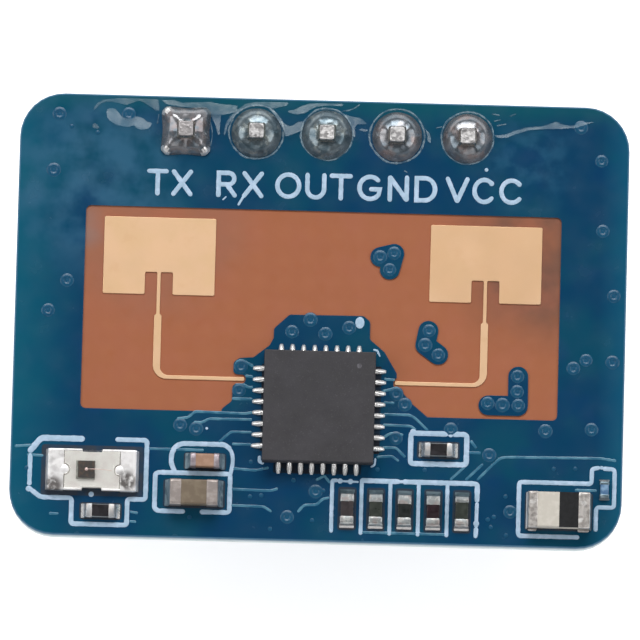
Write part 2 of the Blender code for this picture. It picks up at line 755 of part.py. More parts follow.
def make_chip_components():
    """The resistors, capacitors, inductor and chip antenna of the component face."""
    metal = make_material("tinned_end", TINNED, 0.35, 1.0)
    upright = math.pi / 2
    resistor = ChipSize(RESISTOR_LENGTH, RESISTOR_WIDTH, RESISTOR_HEIGHT, RESISTOR_TERMINAL, SOLDER_REACH)
    capacitor = ChipSize(
        CAPACITOR_LENGTH,
        CAPACITOR_WIDTH,
        CAPACITOR_HEIGHT,
        CAPACITOR_TERMINAL,
        SOLDER_REACH,
    )
    large = ChipSize(
        LARGE_CAPACITOR_LENGTH,
        LARGE_CAPACITOR_WIDTH,
        LARGE_CAPACITOR_HEIGHT,
        LARGE_CAPACITOR_TERMINAL,
        SOLDER_REACH,
    )
    inductor = ChipSize(
        INDUCTOR_LENGTH,
        INDUCTOR_WIDTH,
        INDUCTOR_HEIGHT,
        INDUCTOR_TERMINAL,
        SMALL_SOLDER_REACH,
    )
    antenna = ChipSize(
        ANTENNA_LENGTH,
        ANTENNA_WIDTH,
        ANTENNA_HEIGHT,
        ANTENNA_TERMINAL,
        SMALL_SOLDER_REACH,
    )

    sensor_end = LEFT + SENSOR_FROM_LEFT + SENSOR_LENGTH / 2 + SMALL_SOLDER_REACH
    chip_end = CHIP_X - CHIP_SIDE / 2 - LEAD_REACH
    halfway = (sensor_end + chip_end) / 2
    black = make_material("resistor_glaze", RESISTOR_BLACK, 0.35)
    make_chip_component(
        "sensor_resistor",
        resistor,
        LEFT + SENSOR_RESISTOR_FROM_LEFT,
        BOTTOM + SENSOR_RESISTOR_FROM_BOTTOM,
        black,
        metal,
    )
    make_chip_component(
        "side_resistor",
        resistor,
        CHIP_X + SIDE_RESISTOR_FROM_CHIP,
        BOTTOM + SIDE_RESISTOR_FROM_BOTTOM,
        black,
        metal,
    )
    make_chip_component(
        "tan_capacitor",
        capacitor,
        halfway + TAN_CAPACITOR_SHIFT,
        BOTTOM + TAN_CAPACITOR_FROM_BOTTOM,
        make_material("tan_ceramic", CAPACITOR_TAN, 0.5),
        metal,
    )
    make_chip_component(
        "large_capacitor",
        large,
        halfway,
        BOTTOM + LARGE_CAPACITOR_FROM_BOTTOM,
        make_material("brown_ceramic", CAPACITOR_BROWN, 0.5),
        metal,
    )
    make_chip_component(
        "chip_antenna",
        antenna,
        RIGHT - ANTENNA_FROM_RIGHT,
        BOTTOM + ANTENNA_FROM_BOTTOM,
        make_material("cream_ceramic", ANTENNA_CREAM, 0.45),
        metal,
    )
    make_chip_component(
        "matching_inductor",
        inductor,
        RIGHT - INDUCTOR_FROM_RIGHT,
        BOTTOM + INDUCTOR_FROM_BOTTOM,
        make_material("blue_ceramic", INDUCTOR_BLUE, 0.4),
        metal,
        upright,
    )
    for index in range(ROW_COUNT):
        colour = ROW_COLOURS[index % len(ROW_COLOURS)]
        make_chip_component(
            f"row_resistor_{index + 1}",
            resistor,
            RIGHT - ROW_FROM_RIGHT - ROW_PITCH * (ROW_COUNT - 1 - index),
            BOTTOM + ROW_FROM_BOTTOM,
            make_material(f"row_glaze_{index + 1}", colour, 0.4),
            metal,
            upright,
        )


def half_round_bites(length, width, radius):
    """A rectangle with a half-round bite out of the middle of each short side."""
    outline = []
    for side in (1, -1):
        outline.append((side * length / 2, -side * width / 2))
        for step in range(HOLE_SIDES // 2 + 1):
            turn = math.pi * (0.5 + step / (HOLE_SIDES // 2))
            bite_x = radius * math.cos(turn)
            bite_y = -radius * math.sin(turn)
            outline.append((side * (length / 2 + bite_x), side * bite_y))
        outline.append((side * length / 2, side * width / 2))
    return outline


def make_sensor():
    """The light sensor: a laminate base, plated ends, a die and a clear resin block."""
    place = (LEFT + SENSOR_FROM_LEFT, BOTTOM + SENSOR_FROM_BOTTOM, BOARD_TOP)
    metal = make_material("sensor_plating", TINNED, 0.3, 1.0)
    size = ChipSize(SENSOR_LENGTH, SENSOR_WIDTH, SENSOR_BASE_HEIGHT, SENSOR_TERMINAL, SMALL_SOLDER_REACH)
    low = SEAT_GAP + CAP_WALL
    base_top = SEAT_GAP + SENSOR_BASE_HEIGHT - CAP_WALL
    half = SENSOR_LENGTH / 2 - CAP_WALL
    lens_length = SENSOR_LENGTH - 2 * SENSOR_LENS_FROM_END
    section = (SENSOR_WIDTH - 2 * CAP_WALL, low, base_top, CHIP_EDGE_RADIUS)
    shape = bmesh.new()
    add_loft(shape, [section_ring(-half, *section), section_ring(half, *section)])
    make_object("light_sensor_base", shape, make_material("sensor_laminate", SENSOR_WHITE, 0.6), place)

    for number, side in ((1, -1), (2, 1)):
        shape = bmesh.new()
        add_terminal(shape, size, side)
        terminal = make_object(f"light_sensor_terminal_{number}", shape, metal, place)
        lobe_centre = (side * lens_length / 2, 0.0)
        shape = bmesh.new()
        lobe = circle(SENSOR_BITE_RADIUS - SENSOR_LOBE_GAP, HOLE_SIDES, lobe_centre)
        lobe_bottom = base_top + SEAT_GAP
        add_prism(shape, lobe, lobe_bottom, lobe_bottom + LOBE_SHARE * CAP_WALL)
        combine(terminal, make_tool(f"sensor_lobe_{number}", shape, metal, place), "UNION")

    die_x = -SENSOR_DIE_OFFSET
    die_bottom = base_top + SEAT_GAP
    shape = bmesh.new()
    add_prism(shape, rectangle(SENSOR_DIE_SIDE, SENSOR_DIE_SIDE), die_bottom, die_bottom + SENSOR_DIE_HEIGHT)
    die_place = (place[0] + die_x, place[1], place[2])
    make_object("light_sensor_die", shape, make_material("silicon_die", DIE_BROWN, 0.3), die_place)

    resin = make_material("clear_resin", CLEAR_RESIN, 0.15)
    width = SENSOR_WIDTH - 2 * SENSOR_LENS_MARGIN
    block = half_round_bites(lens_length, width, SENSOR_BITE_RADIUS)
    shape = bmesh.new()
    add_prism(shape, block, die_bottom, die_bottom + SENSOR_LENS_HEIGHT)
    lens = make_object("light_sensor_lens", shape, resin, place)
    pocket_side = SENSOR_DIE_SIDE + 2 * SENSOR_DIE_CLEARANCE
    pocket_top = die_bottom + SENSOR_DIE_HEIGHT + SENSOR_DIE_CLEARANCE
    shape = bmesh.new()
    add_prism(shape, rectangle(pocket_side, pocket_side), low, pocket_top)
    combine(lens, make_tool("die_pocket_cutter", shape, resin, die_place), "DIFFERENCE")


def make_crystal(name, x, y, metal):
    """A ceramic tray with a metal lid, on the back face."""
    shape = bmesh.new()
    tray = rounded(rectangle(CRYSTAL_LENGTH, CRYSTAL_WIDTH), CRYSTAL_CORNER_RADIUS)
    lid_length = CRYSTAL_LENGTH - 2 * CRYSTAL_LID_MARGIN
    lid_width = CRYSTAL_WIDTH - 2 * CRYSTAL_LID_MARGIN
    lid = rounded(rectangle(lid_length, lid_width), CRYSTAL_CORNER_RADIUS)
    top = CRYSTAL_BASE_HEIGHT + CRYSTAL_LID_HEIGHT
    rings = [
        at_height(tray, SEAT_GAP),
        at_height(tray, CRYSTAL_BASE_HEIGHT),
        at_height(lid, CRYSTAL_BASE_HEIGHT),
        at_height(lid, top),
    ]
    add_loft(shape, rings)
    make_object(name, shape, metal, (x, y, BOARD_BOTTOM), (math.pi, 0.0, 0.0))


def add_gull_wing(shape, x, side):
    """Add one bent lead from the regulator's side down to its foot on the board."""
    half = REGULATOR_LEAD_WIDTH / 2
    thick = REGULATOR_LEAD_THICKNESS
    root = REGULATOR_WIDTH / 2 - 2 * REGULATOR_DRAFT
    middle = REGULATOR_HEIGHT / 2
    toe = REGULATOR_SPAN / 2
    heel = toe - REGULATOR_FOOT
    low = SEAT_GAP
    lower = ((root, middle), (heel - thick, middle), (heel, low), (toe, low))
    upper = (
        (root, middle + thick),
        (heel - (1 - KNEE_SHARE) * thick, middle + thick),
        (heel + KNEE_SHARE * thick, low + thick),
        (toe, low + thick),
    )
    rings = []
    for (low_y, low_z), (high_y, high_z) in zip(lower, upper):
        rings.append([
            (x - half, side * low_y, low_z),
            (x + half, side * low_y, low_z),
            (x + half, side * high_y, high_z),
            (x - half, side * high_y, high_z),
        ])
    add_loft(shape, rings)


def make_regulator():
    """The voltage regulator: a drafted plastic body with five bent leads."""
    plastic = make_material("regulator_plastic", CHIP_GREY, 0.55)
    place = (LEFT + REGULATOR_FROM_LEFT, TOP - REGULATOR_FROM_TOP, BOARD_BOTTOM)
    rotation = (math.pi, 0.0, 0.0)
    slim_length = REGULATOR_LENGTH - 2 * REGULATOR_DRAFT
    slim_width = REGULATOR_WIDTH - 2 * REGULATOR_DRAFT
    middle = REGULATOR_HEIGHT / 2 + REGULATOR_LEAD_THICKNESS / 2
    shape = bmesh.new()
    add_loft(
        shape,
        [
            at_height(rectangle(slim_length, slim_width), REGULATOR_STANDOFF),
            at_height(rectangle(REGULATOR_LENGTH, REGULATOR_WIDTH), middle),
            at_height(rectangle(slim_length, slim_width), REGULATOR_HEIGHT),
        ],
    )
    regulator = make_object("regulator", shape, plastic, place, rotation)
    shape = bmesh.new()
    for x in (-REGULATOR_LEAD_PITCH, 0.0, REGULATOR_LEAD_PITCH):
        add_gull_wing(shape, x, 1)
    for x in (-REGULATOR_LEAD_PITCH, REGULATOR_LEAD_PITCH):
        add_gull_wing(shape, x, -1)
    combine(regulator, make_tool("regulator_leads", shape, plastic, place, rotation), "UNION")


def make_back_parts():
    """The wireless chip, the two crystals and the regulator on the back face."""
    black = make_material("wireless_chip_plastic", CHIP_GREY, 0.6)
    lid = make_material("crystal_lid", LID_METAL, 0.3, 1.0)
    wireless_x = RIGHT - WIRELESS_FROM_RIGHT
    wireless_y = BOTTOM + WIRELESS_FROM_BOTTOM
    make_flat_chip(
        "wireless_chip",
        WIRELESS_CHIP_SIDE,
        WIRELESS_CHIP_HEIGHT,
        WIRELESS_LEADS_PER_SIDE,
        WIRELESS_LEAD_PITCH,
        (wireless_x, wireless_y, BOARD_BOTTOM),
        (math.pi, 0.0, 0.0),
        black,
    )
    chip_edge_y = wireless_y + WIRELESS_CHIP_SIDE / 2 + LEAD_REACH
    crystal_y = chip_edge_y + WIRELESS_CRYSTAL_GAP + CRYSTAL_WIDTH / 2
    make_crystal("wireless_crystal", wireless_x, crystal_y, lid)
    make_crystal("radar_crystal", CHIP_X - RADAR_CRYSTAL_FROM_CHIP, CHIP_Y, lid)
    make_regulator()


def main():
    clear_scene()
    module = bpy.data.objects.new("radar_module", None)
    bpy.context.scene.collection.objects.link(module)
    make_board()
    gold = make_material("gold_foil", GOLD_FOIL, 0.35, 1.0)
    make_antenna("antenna_left", -1, gold)
    make_antenna("antenna_right", 1, gold)
    make_flat_chip(
        "radar_chip",
        CHIP_SIDE,
        CHIP_HEIGHT,
        LEADS_PER_SIDE,
        LEAD_PITCH,
        (CHIP_X, CHIP_Y, BOARD_TOP),
        (0.0, 0.0, 0.0),
        make_material("chip_plastic", CHIP_GREY, 0.6),
    )
    make_header()
    make_sensor()
    make_chip_components()
    make_back_parts()


main()
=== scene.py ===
# %% [markdown]
# # A microwave radar sensor module
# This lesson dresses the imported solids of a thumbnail-sized radar board: a blue circuit
# board with two gold patch antennas, a flat radar chip, a light sensor, a pin header and
# a handful of chip components. The solids give every size and place. What is added here
# is what the eye sees on such a board: solder, ink, mask, foil, ceramic and moulding.

# %% Load the solids and keep their box
import math

import bmesh
import bpy
from mathutils import Matrix, Vector, noise


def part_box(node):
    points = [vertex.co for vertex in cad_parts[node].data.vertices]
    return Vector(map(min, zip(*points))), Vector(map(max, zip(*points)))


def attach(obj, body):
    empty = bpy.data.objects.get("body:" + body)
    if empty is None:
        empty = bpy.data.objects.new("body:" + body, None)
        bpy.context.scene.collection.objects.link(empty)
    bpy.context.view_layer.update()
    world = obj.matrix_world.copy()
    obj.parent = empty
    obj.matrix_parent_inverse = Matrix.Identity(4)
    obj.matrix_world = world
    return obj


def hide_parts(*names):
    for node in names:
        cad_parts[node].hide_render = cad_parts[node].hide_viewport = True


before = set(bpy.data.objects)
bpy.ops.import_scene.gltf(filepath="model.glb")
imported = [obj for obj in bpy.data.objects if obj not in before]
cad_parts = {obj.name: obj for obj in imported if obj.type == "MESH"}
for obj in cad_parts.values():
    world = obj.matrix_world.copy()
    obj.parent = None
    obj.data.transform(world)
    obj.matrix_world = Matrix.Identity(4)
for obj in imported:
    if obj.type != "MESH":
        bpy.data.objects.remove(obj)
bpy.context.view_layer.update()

# %% [markdown]
# ## Working in millimetres
# A board like this is drawn in millimetres, so every outline below is too, and one
# scale turns the finished mesh into metres. The levels that matter are read from the
# solids: the mask's top, the bare laminate's top and the board's back.

# %% Units and levels
MM = 0.001


def box_mm(node):
    """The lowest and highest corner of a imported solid, in millimetres."""
    low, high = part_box(node)
    return low / MM, high / MM


BOARD_LOW, BOARD_HIGH = box_mm("circuit_board")
FACE = BOARD_HIGH.z
BACK = BOARD_LOW.z
FOIL_LOW = box_mm("antenna_left")[0].z
FOIL_HIGH = box_mm("antenna_left")[1].z
SINK = 0.006  # how deep ink, mask and flux reach into the board, so that no gap shows
SMALL = 0.004  # nearer than this two levels count as one
print(f"component face at {FACE:.3f} mm, back at {BACK:.3f} mm, foil on {FOIL_LOW:.3f} mm")

# %% [markdown]
# ## Colours and nodes
# Colours are picked as sRGB hex, the way they are read off a photograph, and one
# function turns them linear. One more adds a node with its settings and its links.

# %% Colours and nodes


def linear(code):
    """An sRGB hex colour as linear red, green, blue and alpha."""
    values = [int(code[index:index + 2], 16) / 255 for index in (1, 3, 5)]
    return (*[v / 12.92 if v <= 0.04045 else ((v + 0.055) / 1.055) ** 2.4 for v in values], 1.0)


def add(tree, kind, settings=None, inputs=None):
    """Add a node, apply its settings, and fill or link its inputs."""
    node = tree.nodes.new(kind)
    for key, value in (settings or {}).items():
        setattr(node, key, value)
    for key, value in (inputs or {}).items():
        if isinstance(value, bpy.types.NodeSocket):
            tree.links.new(value, node.inputs[key])
        else:
            node.inputs[key].default_value = value
    return node


# %% [markdown]
# ## A finish and its layers
# A real surface is layered: a base, then clouds of another tone, then wear, gloss and
# relief. A finish below starts from the base colour, and each layer is one call that
# hands the finish back, so that a material reads as a short list of what is laid over
# what. Sizes, depths and places are in millimetres, from the object's own coordinates.

# %% The finish
CLOUD_DETAIL = 3.0
CLOUD_LOW, CLOUD_HIGH = 0.3, 0.7  # a noise seldom leaves this range
SMOOTH = {"interpolation_type": "SMOOTHSTEP"}
MULTIPLY = {"operation": "MULTIPLY"}


class Finish:
    """A material that is built up in layers."""

    def __init__(self, name, colour, roughness, metallic=0.0, ior=None):
        self.material = bpy.data.materials.new(name)
        self.material.use_nodes = True
        self.material.diffuse_color = linear(colour)
        self.tree = self.material.node_tree
        self.shader = self.tree.nodes["Principled BSDF"]
        self.fix("Base Color", linear(colour)).fix("Roughness", roughness).fix("Metallic", metallic)
        if ior:
            self.fix("IOR", ior)
        metres = add(self.tree, "ShaderNodeTexCoord").outputs["Object"]
        scaled = add(self.tree, "ShaderNodeVectorMath", {"operation": "SCALE"}, {0: metres, "Scale": 1 / MM})
        self.place = scaled.outputs[0]
        print(f"finish {name}: {colour}, roughness {roughness}, metallic {metallic}")

    def fix(self, socket, value):
        """Set a value that is the same all over the surface, on the shader's own socket."""
        self.shader.inputs[socket].default_value = value
        return self

    def region(self, centre, radius, soft):
        """A share that is 1 around a point and falls to 0 between the radius and the soft edge."""
        apart = add(self.tree, "ShaderNodeVectorMath", {"operation": "DISTANCE"}, {0: self.place, 1: centre})
        fall = {"From Min": radius, "From Max": radius + soft, "To Min": 1.0, "To Max": 0.0}
        fall["Value"] = apart.outputs["Value"]
        return add(self.tree, "ShaderNodeMapRange", SMOOTH, fall).outputs["Result"]

    def rise(self, axis, start, end, share=1.0):
        """A share that grows from 0 to its full value between two places along an axis."""
        axes = add(self.tree, "ShaderNodeSeparateXYZ", {}, {"Vector": self.place})
        growth = {"Value": axes.outputs[axis], "From Min": start, "From Max": end, "To Max": share}
        return add(self.tree, "ShaderNodeMapRange", {}, growth).outputs["Result"]

    def streaks(self, squeeze, scale, detail):
        """A cloudy pattern squeezed along some axes, as layers, drawn wire or rolled sheet show."""
        narrow = add(self.tree, "ShaderNodeVectorMath", MULTIPLY, {0: self.place, 1: squeeze})
        pattern = {"Vector": narrow.outputs[0], "Scale": scale, "Detail": detail}
        return add(self.tree, "ShaderNodeTexNoise", {}, pattern).outputs["Fac"]

    def cover(self, share, colour):
        """Lay another colour over the finish so far, as far as the share says."""
        socket = self.shader.inputs["Base Color"]
        below = socket.links[0].from_socket if socket.is_linked else tuple(socket.default_value)
        both = add(self.tree, "ShaderNodeMix", {"data_type": "RGBA"}, {0: share, 6: below, 7: linear(colour)})
        self.tree.links.new(both.outputs[2], socket)
        return self

    def raise_surface(self, height, depth):
        """Raise the finish by a pattern."""
        socket = self.shader.inputs["Normal"]
        relief = add(self.tree, "ShaderNodeBump", {}, {"Height": height, "Distance": depth * MM})
        if socket.is_linked:
            self.tree.links.new(socket.links[0].from_socket, relief.inputs["Normal"])
        self.tree.links.new(relief.outputs["Normal"], socket)
        return self

    def mottle(self, colour, size, low, high, share=1.0, inside=None):
        """Cloudy patches of another colour, everywhere or in a region."""
        clouds = {"Vector": self.place, "Scale": 1 / size, "Detail": CLOUD_DETAIL}
        texture = add(self.tree, "ShaderNodeTexNoise", {}, clouds)
        limits = {"Value": texture.outputs["Fac"], "From Min": low, "From Max": high, "To Max": share}
        amount = add(self.tree, "ShaderNodeMapRange", SMOOTH, limits).outputs["Result"]
        if inside:
            amount = add(self.tree, "ShaderNodeMath", MULTIPLY, {0: amount, 1: inside}).outputs[0]
        return self.cover(amount, colour)

    def patchy_gloss(self, size, low, high):
        """Roughness that wanders between two values in patches."""
        clouds = {"Vector": self.place, "Scale": 1 / size, "Detail": CLOUD_DETAIL}
        texture = add(self.tree, "ShaderNodeTexNoise", {}, clouds)
        limits = {"From Min": CLOUD_LOW, "From Max": CLOUD_HIGH, "To Min": low, "To Max": high}
        limits["Value"] = texture.outputs["Fac"]
        amount = add(self.tree, "ShaderNodeMapRange", {}, limits).outputs["Result"]
        self.tree.links.new(amount, self.shader.inputs["Roughness"])
        return self

    def grain(self, size, depth):
        """An irregular relief with grains of this size."""
        clouds = {"Vector": self.place, "Scale": 1 / size, "Detail": CLOUD_DETAIL}
        return self.raise_surface(add(self.tree, "ShaderNodeTexNoise", {}, clouds).outputs["Fac"], depth)


# %% [markdown]
# ## Mesh helpers
# Nearly everything on a board is one of four forms: a line of ink or copper, a turned
# drop, a stack of outlines, or a small block with softened edges. Each gets one builder
# that works on a bmesh, because then a whole family of marks can share one object.

# %% Outlines
ARC_STEPS = 5
CORNER_SHARE = 0.45  # an arc takes at most this much of a side, so that two never meet


def round_path(points, radius, closed=False):
    """A polyline whose corners are replaced by short arcs."""
    count = len(points)
    path = []
    for index, point in enumerate(points):
        corner = Vector(point)
        if not closed and index in (0, count - 1):
            path.append(corner)
            continue
        back = Vector(points[index - 1]) - corner
        ahead = Vector(points[(index + 1) % count]) - corner
        reach = min(radius, CORNER_SHARE * back.length, CORNER_SHARE * ahead.length)
        start = corner + back.normalized() * reach
        end = corner + ahead.normalized() * reach
        for step in range(ARC_STEPS + 1):
            share = step / ARC_STEPS
            path.append(start * (1 - share) ** 2 + corner * 2 * share * (1 - share) + end * share ** 2)
    return path


def circle_path(centre, radius, sides=28):
    """Points around a circle, anticlockwise."""
    return [
        Vector((centre[0] + radius * math.cos(turn), centre[1] + radius * math.sin(turn)))
        for turn in (2 * math.pi * index / sides for index in range(sides))
    ]


def rounded_rectangle(half_x, half_y, radius, steps=4):
    """A rectangle around the origin with round corners, anticlockwise."""
    outline = []
    for quarter, (sign_x, sign_y) in enumerate(((1, 1), (-1, 1), (-1, -1), (1, -1))):
        for step in range(steps + 1):
            turn = math.pi / 2 * (quarter + step / steps)
            outline.append(Vector((
                sign_x * (half_x - radius) + radius * math.cos(turn),
                sign_y * (half_y - radius) + radius * math.sin(turn),
            )))
    return outline


def ring_at(outline, level, middle=(0.0, 0.0)):
    """A flat outline as points at one level, around a middle."""
    return [(middle[0] + x, middle[1] + y, level) for x, y in outline]


def wobble(x, y, size, seed):
    """A smooth random value from about -1 to 1 that is the same on every run."""
    return noise.noise(Vector((x / size, y / size, seed)))


# %% [markdown]
# Ink and etched copper are both low and domed: a line is highest in its middle, its
# ends are round, and its edge wavers a little. A flat strip would never catch light, so
# the ribbon below gets a domed section that is swept along its path.

# %% The loft and the ribbon
# The section of a line, from edge to edge: shares of its half width and of its height.
DOME = ((1.0, 0.0), (0.88, 0.6), (0.5, 0.93), (0.0, 1.0), (-0.5, 0.93), (-0.88, 0.6), (-1.0, 0.0))
CAP_TURNS = (85, 60, 30)  # degrees around the round end of a line
SHARPEST_TURN = 0.6  # limits how far a line widens at a corner
WAVER_SIZE = 0.12  # in millimetres; the length of the waves in a line's edge


def add_loft(shape, rings, closed_path=False, finish=0):
    """A closed body through rings of equally many points."""
    loops = [[shape.verts.new(point) for point in ring] for ring in rings]
    pairs = list(zip(loops, loops[1:]))
    if closed_path:
        pairs.append((loops[-1], loops[0]))
    faces = []
    for first, second in pairs:
        for index in range(len(first)):
            faces.append(shape.faces.new((first[index - 1], first[index], second[index], second[index - 1])))
    if not closed_path:
        faces.append(shape.faces.new(list(reversed(loops[0]))))
        faces.append(shape.faces.new(loops[-1]))
    for face in faces:
        face.material_index = finish
    return faces


def add_ribbon(shape, path, width, level, height, closed=False, waver=0.0, finish=0):
    """A domed line of ink or copper along the path, with round ends."""
    path = [Vector(point[:2]) for point in path]
    count = len(path)
    rings = []

    def ring(centre, across, half, lift):
        return [(centre.x + across.x * half * s, centre.y + across.y * half * s, level + lift * h) for s, h in DOME]

    for index, point in enumerate(path):
        before = point - path[index - 1] if closed or index else path[1] - path[0]
        after = path[(index + 1) % count] - point if closed or index < count - 1 else before
        along = (before.normalized() + after.normalized()).normalized()
        across = Vector((-along.y, along.x))
        miter = 1 / max(SHARPEST_TURN, along.dot(after.normalized()))
        half = width / 2 * miter * (1 + waver * wobble(point.x, point.y, WAVER_SIZE, 3.0))
        cap = []
        if not closed and index in (0, count - 1):
            outwards = -along if index == 0 else along
            for turn in CAP_TURNS:
                share = math.cos(math.radians(turn))
                centre = point + outwards * (width / 2 * math.sin(math.radians(turn)))
                cap.append(ring(centre, across, half * share, height * share ** 0.5))
        body = [ring(point, across, half, height)]
        rings += cap + body if index == 0 else body + cap[::-1]
    return add_loft(shape, rings, closed_path=closed, finish=finish)


# %% The turned drop and finer paths


def add_drop(shape, centre, profile, sides=28, finish=0, level=0.0):
    """A turned body through (radius, height) pairs that starts and ends near its axis."""
    rings = [ring_at(circle_path(centre, max(radius, 0.002), sides), level + height) for radius, height in profile]
    return add_loft(shape, rings, finish=finish)


def resample(path, step, closed=False):
    """The same path with a point about every step, so that its edge can waver."""
    points = list(path) + ([path[0]] if closed else [])
    finer = []
    for first, second in zip(points, points[1:]):
        pieces = max(1, round((second - first).length / step))
        finer.extend(first.lerp(second, index / pieces) for index in range(pieces))
    if not closed:
        finer.append(points[-1])
    return finer


# %% [markdown]
# Moulded and sawn parts have softened edges, and that soft edge is where the light
# shows. A block is a box whose edges are bevelled by a real radius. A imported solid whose
# outline is already right is copied, its flat triangles are merged, and only its edges
# are softened.

# %% Blocks


def round_edges(shape, edges, radius, segments):
    """Round these edges by a radius."""
    shared = {"offset_type": "OFFSET", "profile": 0.5, "affect": "EDGES", "clamp_overlap": True}
    bmesh.ops.bevel(shape, geom=edges, offset=radius, segments=segments, **shared)


def add_block(shape, low, high, radius, segments=3, finish=0):
    """A box between two corners with every edge rounded."""
    made = bmesh.ops.create_cube(shape, size=1.0)["verts"]
    middle = (Vector(low) + Vector(high)) / 2
    size = Vector(high) - Vector(low)
    for vert in made:
        vert.co = Vector((vert.co.x * size.x, vert.co.y * size.y, vert.co.z * size.z)) + middle
    before = set(shape.faces)
    own = {face for vert in made for face in vert.link_faces}
    round_edges(shape, list(dict.fromkeys(edge for vert in made for edge in vert.link_edges)), radius, segments)
    for face in shape.faces:
        if face not in before or face in own:
            face.material_index = finish


# %% Softened copies of the solids
MERGE = 0.0004  # in millimetres; corners nearer than this are one
FLAT_TURN = 1.5  # degrees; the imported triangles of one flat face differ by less


def solid_copy(node):
    """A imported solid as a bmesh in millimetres, with its flat triangles merged."""
    shape = bmesh.new()
    shape.from_mesh(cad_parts[node].data)
    shape.transform(Matrix.Scale(1 / MM, 4))
    bmesh.ops.remove_doubles(shape, verts=shape.verts, dist=MERGE)
    bmesh.ops.dissolve_limit(shape, angle_limit=math.radians(FLAT_TURN), verts=shape.verts, edges=shape.edges)
    for face in shape.faces:
        face.material_index = 0
    return shape


def soften(shape, radius, segments=2, chosen=None, angle=40):
    """Round the solid's sharp edges, or only the chosen ones."""
    sharp = [
        edge
        for edge in shape.edges
        if len(edge.link_faces) == 2 and edge.calc_face_angle() > math.radians(angle)
    ]
    round_edges(shape, [edge for edge in sharp if chosen is None or chosen(edge)], radius, segments)


# %% [markdown]
# Every finished piece goes through one function. It turns the normals outwards, goes
# over to metres, shades curved faces smooth and large flat ones flat, and says which
# body the piece rides on and which solids it stands for.

# %% Finished pieces
FLAT_AREA = 0.04  # in square millimetres; a larger face is flat and is shaded so


def make_piece(name, shape, finishes, stands_for=(), angle=32):
    """Turn a shape in millimetres into a smooth piece that rides on the board's one body."""
    bmesh.ops.recalc_face_normals(shape, faces=shape.faces)
    mesh = bpy.data.meshes.new(name)
    shape.to_mesh(mesh)
    shape.free()
    mesh.transform(Matrix.Scale(MM, 4))
    for finish in finishes:
        mesh.materials.append(finish.material)
    mesh.shade_smooth()
    mesh.set_sharp_from_angle(angle=math.radians(angle))
    for polygon in mesh.polygons:
        if polygon.area > FLAT_AREA * MM ** 2:
            polygon.use_smooth = False
    piece = bpy.data.objects.new(name, mesh)
    bpy.context.scene.collection.objects.link(piece)
    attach(piece, "root")
    if stands_for:
        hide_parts(*stands_for)
    print(f"{name}: {len(mesh.polygons)} faces")
    return piece


# %% [markdown]
# ## The circuit board
# The real board is glass-epoxy laminate with copper on both faces under a blue
# photo-imaged mask. The mask is a thin glossy lacquer: its colour shifts from navy, over
# copper, to teal, over bare laminate, and it has a faint orange-peel. In the antenna
# window mask and copper are missing and the brown laminate shows, matt and a little
# cloudy. The milled edge shows pale glass fibre.

# %% Board finishes
# Liquid lacquer, curtain coated and cured: glossy, deep, never quite even in tone.
solder_mask = Finish("photoimaged_epoxy_mask", "#0a3b5b", 0.20, ior=1.5)
solder_mask.mottle("#09465c", 3.4, 0.42, 0.62, 0.8).mottle("#0c3762", 1.5, 0.50, 0.70, 0.35)
# Lighter and more teal towards the left edge: a painted reflection of the left box. The mask is also painted lighter
# towards the right and far edges.
solder_mask.cover(solder_mask.rise("X", -8.6, -11.0, 0.75), "#0f5a70")
solder_mask.cover(solder_mask.rise("X", 10.0, 11.0, 0.6), "#125a76")
solder_mask.cover(solder_mask.rise("Y", 7.2, 7.8, 0.6), "#0f525c")
# Paler, greyer clouds lie in two regions: left of the pin names and near their right end.
solder_mask.mottle("#33607c", 1.1, 0.30, 0.66, 0.8, solder_mask.region((-8.3, 4.9, FACE), 1.2, 3.4))
solder_mask.mottle("#2b5c78", 0.8, 0.42, 0.70, 0.5, solder_mask.region((7.4, 5.9, FACE), 0.5, 2.0))
solder_mask.patchy_gloss(0.9, 0.14, 0.28)
solder_mask.grain(0.16, 0.0012)  # orange peel, drawn coarser than life to show

# Developed edge of the lacquer at the window: thin, dull and purplish over the bare board.
mask_rim = Finish("cut_edge_of_mask", "#4b4560", 0.35, ior=1.5)
mask_rim.mottle("#27506c", 0.3, 0.40, 0.65).grain(0.08, 0.002)

# Pressed glass cloth in epoxy, bared of copper: matt brown, warmer in clouds, and darker in painted shade near the
# window's ends.
laminate = Finish("bare_glass_epoxy_laminate", "#99552e", 0.55, ior=1.55)
# Darker clouds near both ends of the window and a greyer patch at its left edge are painted shade, by the antennas
# and the mask's rim.
for colour, share, centre, radius, soft in (
    ("#653d2a", 0.95, (8.0, 2.6, FACE), 1.4, 3.0),
    ("#8a5740", 0.6, (-6.0, 3.2, FACE), 2.4, 1.6),
    ("#7d6a66", 0.8, (-8.6, 3.2, FACE), 0.1, 1.0),
):
    laminate.mottle(colour, 2.0, 0.10, 0.60, share, laminate.region(centre, radius, soft))
laminate.mottle("#9c5638", 1.3, 0.40, 0.66, 0.4)
# The glass cloth has a thread about every 0.45 mm, over and under in turn, so the weave
# repeats every 0.9 mm. It is just visible under the resin.
WEAVE_SCALE = 0.35
WEAVE_SHARE = 0.03
warp, weft = (
    add(
        laminate.tree,
        "ShaderNodeTexWave",
        {"bands_direction": axis},
        {"Vector": laminate.place, "Scale": WEAVE_SCALE, "Distortion": 0.6},
    ).outputs["Fac"]
    for axis in "XY"
)
weave = add(laminate.tree, "ShaderNodeMath", MULTIPLY, {0: warp, 1: weft}).outputs[0]
faint = add(laminate.tree, "ShaderNodeMath", MULTIPLY, {0: weave, 1: WEAVE_SHARE}).outputs[0]
laminate.cover(faint, "#d08a5c").patchy_gloss(0.5, 0.45, 0.68).raise_surface(weave, 0.001)

# Routed edge of the laminate: torn glass fibre scatters the light and looks pale.
board_edge = Finish("milled_laminate_edge", "#dde6e8", 0.7, ior=1.55)
